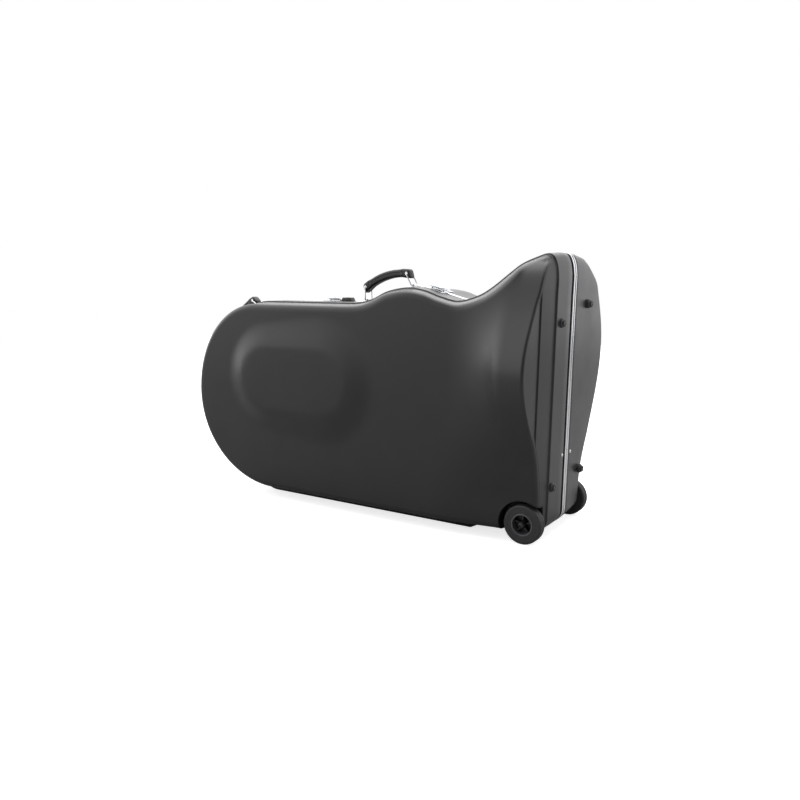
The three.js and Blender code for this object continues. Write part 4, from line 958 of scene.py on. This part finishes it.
# Bends a flat piece, made about the origin with z outward, along the belt
def laidOnBelt(piece, spot):
    for vertex in piece.data.vertices:
        (px, pz), (ox, oz) = beltAway(spot, vertex.co.x / mm)
        out = vertex.co.z / mm
        vertex.co = Vector(((px + ox * out) * mm, vertex.co.y, (pz + oz * out) * mm))
    return piece


# A plate with round corners, from its low corner to its high one
def plate(name, low, high, corner, edge=0.35):
    (x0, y0, z0), (x1, y1, z1) = low, high
    line = sum(roundCorners((x1 - x0) / 2, (y1 - y0) / 2, corner, 5), [])
    piece = extruded(name, [(x + (x0 + x1) / 2, y + (y0 + y1) / 2, z0) for x, y in line], (0, 0, z1 - z0))
    roundEdges(piece, edge, 2, 60)
    return piece


fitting = {"seat": 0.15, "rivetSides": 20,
           "rivetLoop": [(0, -0.5), (2.25, -0.5), (2.25, 0.2), (1.8, 0.75), (0.9, 1), (0, 1)]}


# A thin plate on the belt, sliced so that it can bend with it
def beltPlate(name, spot, half, startY, endY, top, corner, slices):
    piece = plate(name, (-half, startY, fitting["seat"]), (half, endY, top), corner)
    edit(piece)
    for k in range(1, slices):
        bpy.ops.mesh.select_all(action="SELECT")
        bpy.ops.mesh.bisect(plane_co=(mixed(-half, half, k / slices) * mm, 0, 0), plane_no=(1, 0, 0))
    bpy.ops.object.mode_set(mode="OBJECT")
    return laidOnBelt(piece, spot)


def beltRivet(spot, x, y, base):
    head = spun("rivetHead", fitting["rivetLoop"], fitting["rivetSides"])
    return laidOnBelt(placedBy(head, shiftMm(x, y, base) @ turned(90, "X")), spot)


# A round wire along the closed line of a rounded rectangle that stands on the pivot
def wireLoop(name, width, height, radius, sides):
    corners = roundCorners(width / 2, height / 2, 2.2 * radius, 7)
    line = [(y, z + height / 2) for corner in corners for y, z in corner]
    points = []
    for i, (y, z) in enumerate(line):
        (ay, az), (by, bz) = line[i - 1], line[(i + 1) % len(line)]
        length = math.hypot(by - ay, bz - az)
        for turn in [2 * math.pi * k / sides for k in range(sides)]:
            off = radius * math.cos(turn) / length
            points.append((radius * math.sin(turn), y + off * (bz - az), z - off * (by - ay)))
    return merge(meshPiece(name, points, bandFaces(sides, len(line), True)))


handle = {
    "y": -32, "end": 9.5, "height": 26, "width": 26, "edge": 6.5, "sag": 13, "wire": 1.8, "wireSides": 14,
    "reach": 36, "lean": 14, "side": 3, "run": 0.45, "openRun": 0.95, "eyeRadius": 4.6, "eyeThick": 1.2,
    "saddleLength": 34, "saddleWidth": 15, "saddleThick": 1.8, "saddleCorner": 3.5, "pivot": 5,
    "grooveZ": 0.3, "grooveDepth": 1.0, "grooveLine": (1.3, 0.5, -0.5, -1.3), "waist": 0.84,
    "waistRun": (0.6, 0.8), "neck": 12.5, "neckRoom": 2.5, "endAt": 0.9995, "endScale": 0.55,
    "endRound": [(0.5, 0.72), (1.6, 0.88), (3.2, 0.97), (5, 1.0), (8, 1.0), (12, 1.0), (16, 1.0)],
    "neckRound": [(2.5, 1.0), (1.1, 1.0), (0.8, 0.93), (-0.8, 0.93), (-1.1, 1.0)], "sweepSteps": 14,
    "carryX": (caseLine["humpX"] - 219, caseLine["humpX"] - 65), "towX": (bowEndX + 26.6, bowEndX + 137.6),
}
leanTurn = math.radians(handle["lean"])
pivotZ = mould["fitGap"] + handle["pivot"]


def gripSection(x, z, width, height, edge, grooved):
    half, tall, depth = width / 2, height / 2, handle["grooveDepth"] if grooved else 0
    levels = [handle["grooveZ"] * tall + step for step in handle["grooveLine"]]
    flank = list(zip((half, half - depth, half - depth, half), levels))
    upperRight, upperLeft, lowerLeft, lowerRight = roundCorners(half, tall, edge, 6)
    line = upperRight + upperLeft + [(-y, level) for y, level in flank] + lowerLeft + lowerRight + flank[::-1]
    return [(x, y, z + level) for y, level in line]


def gripMesh(name, span):
    eyes = span / 2 - handle["reach"] * math.sin(leanTurn)
    half, neck = eyes + handle["end"], eyes - handle["neck"]
    straight, sweep = neck - handle["neckRoom"], handle["sweepSteps"]
    stops = [(half * handle["endAt"], handle["endScale"])]
    stops += [(half - inset, scale) for inset, scale in handle["endRound"]]
    stops += [(neck + run, scale) for run, scale in handle["neckRound"]]
    inner = [(mixed(straight, -straight, k / sweep), 1.0) for k in range(sweep + 1)]
    stops = stops + inner + [(-x, scale) for x, scale in reversed(stops)]
    points = []
    for x, scale in stops:
        swell = mixed(handle["waist"], 1, eased(*handle["waistRun"], abs(x) / half))
        points += gripSection(x, handle["sag"] * (1 - (x / eyes) ** 2), handle["width"] * scale,
                              handle["height"] * swell * scale, handle["edge"] * scale, abs(x) < neck - 2)
    count, total = len(points) // len(stops), len(points)
    ends = [tuple(range(count)), tuple(reversed(range(total - count, total)))]
    piece = merge(meshPiece(name, points, bandFaces(count, len(stops), False) + ends))
    for x, run in ((-eyes, handle["run"]), (eyes, handle["openRun"])):
        cut(piece, bar("eyeTool", "y", handle["wire"] + run, -20, 20, x, 0, 24))
    return piece


def saddlePiece(name, spot):
    bore, half, top = handle["wire"] + handle["run"], handle["saddleLength"] / 2, 0.3 + handle["saddleThick"]
    arch = bore + handle["saddleThick"]
    startY, endY = [handle["y"] + sign * handle["saddleWidth"] / 2 for sign in (-1, 1)]
    base = beltPlate("saddleFoot", spot, half, startY, endY, top, handle["saddleCorner"], 8)
    loop = bar("saddleLoop", "y", arch, startY, endY, 0, pivotZ, 40)
    cut(loop, block("flankTool", (-arch, startY, 0.8), (arch, endY, pivotZ)), "UNION")
    roundEdges(loop, 0.5, 2, 60)
    cut(loop, bar("boreTool", "y", bore, startY - 5, endY + 5, 0, pivotZ, 32))
    placedBy(loop, spot["matrix"])
    return joined(name, [base, loop] + [beltRivet(spot, sign * (half + arch) / 2, handle["y"], top)
                                        for sign in (-1, 1)])


# A wire ring with an eyelet on each side of the grip
def ringPiece(name):
    wire, near = handle["wire"], handle["width"] / 2 + handle["run"]
    wide, thick = handle["eyeRadius"], near + handle["eyeThick"]
    parts = [wireLoop("ringWire", handle["width"] + 2 * handle["side"], handle["reach"], wire,
                      handle["wireSides"])]
    for degrees in (0, 180):
        eye = spun("eyelet", [(1.9, near), (wide, near), (wide, near + 0.6), (wide - 0.7, thick),
                              (2.6, thick), (2.2, near + 0.8), (1.9, near + 0.8)], 32)
        parts.append(placedBy(eye, shiftMm(0, 0, handle["reach"]) @ turned(degrees, "Z")))
    return joined(name, parts)


def handlePieces(prefix):
    spots = [beltSpot(x, handle["y"]) for x in handle[f"{prefix}X"]]
    left, right = [spot["matrix"] @ Vector((0, 0, pivotZ * mm)) for spot in spots]
    rise = math.atan2(right.z - left.z, right.x - left.x)
    for spot, pivot, label, sign in zip(spots, (left, right), ("left", "right"), (1, -1)):
        saddle = saddlePiece(f"{prefix}Saddle{label.title()}", spot)
        finished(saddle, "case_body", [f"{prefix}_handle_saddle_{label}"], chromedSteel)
        ring = ringPiece(f"{prefix}Ring{label.title()}")
        turn = Matrix.Rotation(sign * leanTurn - rise, 4, "Y")
        placedBy(ring, Matrix.Translation((pivot.x, handle["y"] * mm, pivot.z)) @ turn)
        finished(ring, f"{prefix}_ring_{label}", [f"{prefix}_handle_ring_{label}"], chromedSteel,
                 40)
    grip = gripMesh(f"{prefix}GripMoulding", (right - left).length / mm)
    middle, up = (left + right) / 2, handle["reach"] * mm * math.cos(leanTurn)
    place = (middle.x - up * math.sin(rise), handle["y"] * mm, middle.z + up * math.cos(rise))
    placedBy(grip, Matrix.Translation(place) @ Matrix.Rotation(-rise, 4, "Y"))
    finished(grip, f"{prefix}_grip", [f"{prefix}_handle_grip"], blackNylon)


handlePieces("carry")
handlePieces("tow")
print("handles hung")

latch = {
    "places": (caseLine["humpX"] - 350, caseLine["humpX"]), "length": 62, "plate": 1.8, "depth": 27,
    "plateCorner": 3,
    "pivotY": -15.5, "pivotZ": 6, "pin": 1.5, "pinRun": 0.1, "ear": 1.8, "leverWidth": 34, "leverThick": 1.8,
    "leverShare": 0.8, "leverCorner": 3.5, "linkArm": 9, "linkRun": 0.45, "yokeWall": 0.9, "wire": 1.3,
    "wireSides": 12, "linkReachY": 10.5, "keeperStart": 9.8, "keeperDepth": 17, "keeperShare": 0.4,
    "hookDepth": 3.6, "nose": 1.2, "edgeY": -12.8,
}
latchTop = mould["fitGap"] + latch["plate"]
earIn = latch["leverWidth"] / 2 + mould["fitGap"]
earOut = earIn + latch["ear"]
linkY = latch["pivotY"] - latch["linkArm"]


def latchBase(number, spot):
    half, startY, pivotY = latch["length"] / 2, latch["edgeY"] - latch["depth"], latch["pivotY"]
    parts = [beltPlate("latchPlate", spot, half, startY, latch["edgeY"], latchTop, latch["plateCorner"], 12)]
    for sign in (-1, 1):
        low, high = sorted((sign * earIn, sign * earOut))
        ear = block("latchEar", (low, pivotY - 4.5, 0.6), (high, latch["edgeY"], latch["pivotZ"] + 3), 0.5, 2)
        parts.append(placedBy(ear, spot["matrix"]))
        parts += [beltRivet(spot, sign * (half - 4.5), startY + latch["depth"] * share, latchTop)
                  for share in (0.2, 0.7)]
    pin = bar("latchPin", "x", latch["pin"], -earOut - 0.9, earOut + 0.9, pivotY, latch["pivotZ"], 24, 0.3)
    parts.append(placedBy(pin, spot["matrix"]))
    base = joined(f"latch{number}BasePlate", parts)
    finished(base, "case_body", [f"latch_{number}_base"], chromedSteel)


def latchLever(number, spot):
    thick, wide = latch["leverThick"], latch["leverWidth"] / 2
    pivotY, axisZ = latch["pivotY"], latch["pivotZ"]
    pinBore, linkBore = latch["pin"] + latch["pinRun"], latch["wire"] + latch["linkRun"]
    tail, top = pivotY - latch["depth"] * latch["leverShare"], axisZ + pinBore + thick
    yoke = linkBore + latch["yokeWall"]
    parts = [plate("leverTop", (-wide, tail, top - thick), (wide, pivotY, top), latch["leverCorner"], 0.5),
             block("leverLip", (-wide + 3, tail, top - 1.2), (wide - 3, tail + 2, top + thick), 0.7, 3),
             bar("leverBarrel", "x", pinBore + thick, -wide, wide, pivotY, axisZ, 40, 0.3),
             block("leverYoke", (-wide, linkY - yoke, axisZ), (wide, linkY + yoke, top - 0.3), 0.4, 2)]
    for radius, y in ((pinBore, pivotY), (linkBore, linkY)):
        for part in parts[2:]:
            cut(part, bar("boreTool", "x", radius, -30, 30, y, axisZ, 24))
    lever = placedBy(joined(f"latch{number}LeverPlate", parts), spot["matrix"])
    finished(lever, f"latch_{number}_lever", [f"latch_{number}_lever"], chromedSteel)


def latchLink(number, spot):
    width = 2 * (earOut + 2 * latch["wire"])
    link = wireLoop(f"latch{number}LinkWire", width, latch["linkReachY"] - linkY, latch["wire"],
                    latch["wireSides"])
    placedBy(link, spot["matrix"] @ shiftMm(0, linkY, latch["pivotZ"]) @ turned(-90, "X") @ turned(-90, "Z"))
    finished(link, f"latch_{number}_link", [f"latch_{number}_link"], chromedSteel, 40)


def latchKeeper(number, spot):
    half, startY = latch["length"] * latch["keeperShare"], latch["keeperStart"] + mould["fitGap"]
    endY = startY + latch["keeperDepth"]
    parts = [beltPlate("keeperPlate", spot, half, startY, endY, latchTop, latch["plateCorner"], 10)]
    hook = block("keeperHook", (-half / 2, startY, 0.8),
                 (half / 2, startY + latch["hookDepth"], latchTop + latch["nose"]), 0.5, 3)
    parts.append(placedBy(hook, spot["matrix"]))
    parts += [beltRivet(spot, sign * half * 0.75, mixed(startY, endY, 0.6), latchTop) for sign in (-1, 1)]
    keeper = joined(f"latch{number}KeeperPlate", parts)
    finished(keeper, "lid", [f"latch_{number}_keeper"], chromedSteel)


for index, x in enumerate(latch["places"]):
    for makePart in (latchBase, latchLever, latchLink, latchKeeper):
        makePart(index + 1, beltSpot(x, latch["pivotY"]))
print("latches fitted")

# The black lock housing, with a bright key plug
lock = {"x": caseLine["humpX"] - 297, "length": 38, "height": 11, "depth": 22, "flank": 5.5, "edge": 1.3,
        "plug": 4.6, "plugRoom": 0.4, "keyLength": 4.8, "keyWidth": 1}
lockMatrix = beltSpot(lock["x"], latch["pivotY"])["matrix"]
half, top, y = lock["length"] / 2, lock["height"], latch["edgeY"] - lock["depth"] / 2
outline = [(-half, 0.3), (half, 0.3), (half - lock["flank"], top), (lock["flank"] - half, top)]
housing = extruded("lockHousingShell", [(x, latch["edgeY"] - lock["depth"], z) for x, z in outline],
                   (0, lock["depth"], 0))
roundEdges(housing, lock["edge"], 4, 30)
cut(housing, bar("plugTool", "z", lock["plug"] + lock["plugRoom"], top - 1.2, top + 3, 0, y, 32))
finished(placedBy(housing, lockMatrix), "case_body", ["lock_housing"], blackNylon)
plug = bar("lockKeyPlug", "z", lock["plug"], top - 3, top - 0.4, 0, y, 32, 0.3)
keyLong, keyWide = lock["keyLength"] / 2, lock["keyWidth"] / 2
cut(plug, block("keyTool", (-keyLong, y - keyWide, top - 2), (keyLong, y + keyWide, top + 1)))
finished(placedBy(plug, lockMatrix), "case_body", [], chromedSteel)
print("lock fitted")

# The camera stands where the photograph was taken; focal is in picture widths
view = {"place": (756.44, -1855.89, 647.50), "turn": 0.5804, "tilt": 0.1561, "focal": 779.5937 / 800,
        "sensor": 36, "far": 60}
lens = bpy.data.cameras.new("studioCamera")
lens.sensor_width, lens.lens, lens.clip_end = view["sensor"], view["sensor"] * view["focal"], view["far"]
camera = bpy.data.objects.new("studioCamera", lens)
bpy.context.scene.collection.objects.link(camera)
level = math.cos(view["tilt"])
aim = Vector((-math.sin(view["turn"]) * level, math.cos(view["turn"]) * level, -math.sin(view["tilt"])))
right = Vector((math.cos(view["turn"]), math.sin(view["turn"]), 0))
facingWay = Matrix((right, right.cross(aim), -aim)).transposed().to_4x4()
camera.matrix_world = toRow @ Matrix.Translation([length * mm for length in view["place"]]) @ facingWay
bpy.context.scene.camera = camera

# White paper, printed white in the picture as product photos are; the case itself reflects a greyer sheet
floorPaper = {"size": 11, "reflected": "#aeaeae", "seen": "#d8d8d8", "roughness": 0.9, "lift": 0.75}
clearSelection()
bpy.ops.mesh.primitive_plane_add(size=floorPaper["size"], location=(0, 0, 0))
floor = bpy.context.object
floor.name = "studioFloor"
paper = bpy.data.materials.new("whitePaper")
paper.use_nodes = True
tree = paper.node_tree
seen = addNode(tree, "ShaderNodeLightPath").outputs["Is Camera Ray"]
tone = addNode(tree, "ShaderNodeMix", {"data_type": "RGBA"}, links={"Factor": seen})
tone.inputs["A"].default_value = linearColour(floorPaper["reflected"])
tone.inputs["B"].default_value = linearColour(floorPaper["seen"])
shader = tree.nodes["Principled BSDF"]
shader.inputs["Roughness"].default_value = floorPaper["roughness"]
shader.inputs["Emission Color"].default_value = linearColour("#ffffff")
lift = addNode(tree, "ShaderNodeMath", {"operation": "MULTIPLY"}, {1: floorPaper["lift"]}, {0: seen})
tree.links.new(tone.outputs["Result"], shader.inputs["Base Color"])
tree.links.new(lift.outputs["Value"], shader.inputs["Emission Strength"])
floor.data.materials.append(paper)
floor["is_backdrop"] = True

lamps = {
    "top": {"place": (0.1, 0.4, 3.0), "aim": (0, 0, 0.3), "size": (3.4, 2.4), "power": 60},
    "back": {"place": (-1.2, 3.0, 2.6), "aim": (-0.1, 0, 0.5), "size": (4.4, 2.2), "power": 26},
    "right": {"place": (3.0, 0.4, 1.6), "aim": (0.4, 0, 0.35), "size": (1.8, 1.8), "power": 22},
}
for name, lamp in lamps.items():
    light = bpy.data.lights.new(f"{name}Softbox", "AREA")
    light.shape, light.size, light.size_y, light.energy = "RECTANGLE", *lamp["size"], lamp["power"]
    softbox = bpy.data.objects.new(f"{name}Softbox", light)
    bpy.context.scene.collection.objects.link(softbox)
    turn = (Vector(lamp["place"]) - Vector(lamp["aim"])).to_track_quat("Z", "Y")
    softbox.matrix_world = Matrix.Translation(lamp["place"]) @ turn.to_matrix().to_4x4()

# White paper hangs behind the case, a broad softbox stands in front on the left, and the rest of the room is
# dim. The picture itself has a white ground on every side.
room = {"dim": 0.25, "paper": {"way": (aim.x, aim.y, 0), "from": -0.3, "to": 0.6, "glow": 1.2},
        "softbox": {"way": (-0.8, -0.5, 0.33), "from": 0.35, "to": 1.0, "glow": 1.5}}
world = bpy.data.worlds.new("whiteStudio")
bpy.context.scene.world = world
world.use_nodes = True
tree = world.node_tree
way = addNode(tree, "ShaderNodeTexCoord").outputs["Generated"]
shares, dim = [], room["dim"] / 2
for wall in (room["paper"], room["softbox"]):
    ahead = addNode(tree, "ShaderNodeVectorMath", {"operation": "DOT_PRODUCT"}, {1: wall["way"]}, {0: way})
    shares.append(addNode(tree, "ShaderNodeMapRange", {"interpolation_type": "SMOOTHSTEP"}, {
        "From Min": wall["from"], "From Max": wall["to"], "To Min": dim, "To Max": dim + wall["glow"]},
        {"Value": ahead.outputs["Value"]}).outputs["Result"])
both = addNode(tree, "ShaderNodeMath", {"operation": "ADD"}, None, {0: shares[0], 1: shares[1]})
seen = addNode(tree, "ShaderNodeLightPath").outputs["Is Camera Ray"]
glow = addNode(tree, "ShaderNodeMix", inputs={"B": 1.0}, links={"Factor": seen, "A": both.outputs["Value"]})
tree.links.new(glow.outputs["Result"], tree.nodes["Background"].inputs["Strength"])
tree.nodes["Background"].inputs["Color"].default_value = linearColour("#ffffff")
bpy.context.scene.view_settings.view_transform = "Standard"
print("studio lit")

low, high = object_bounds()
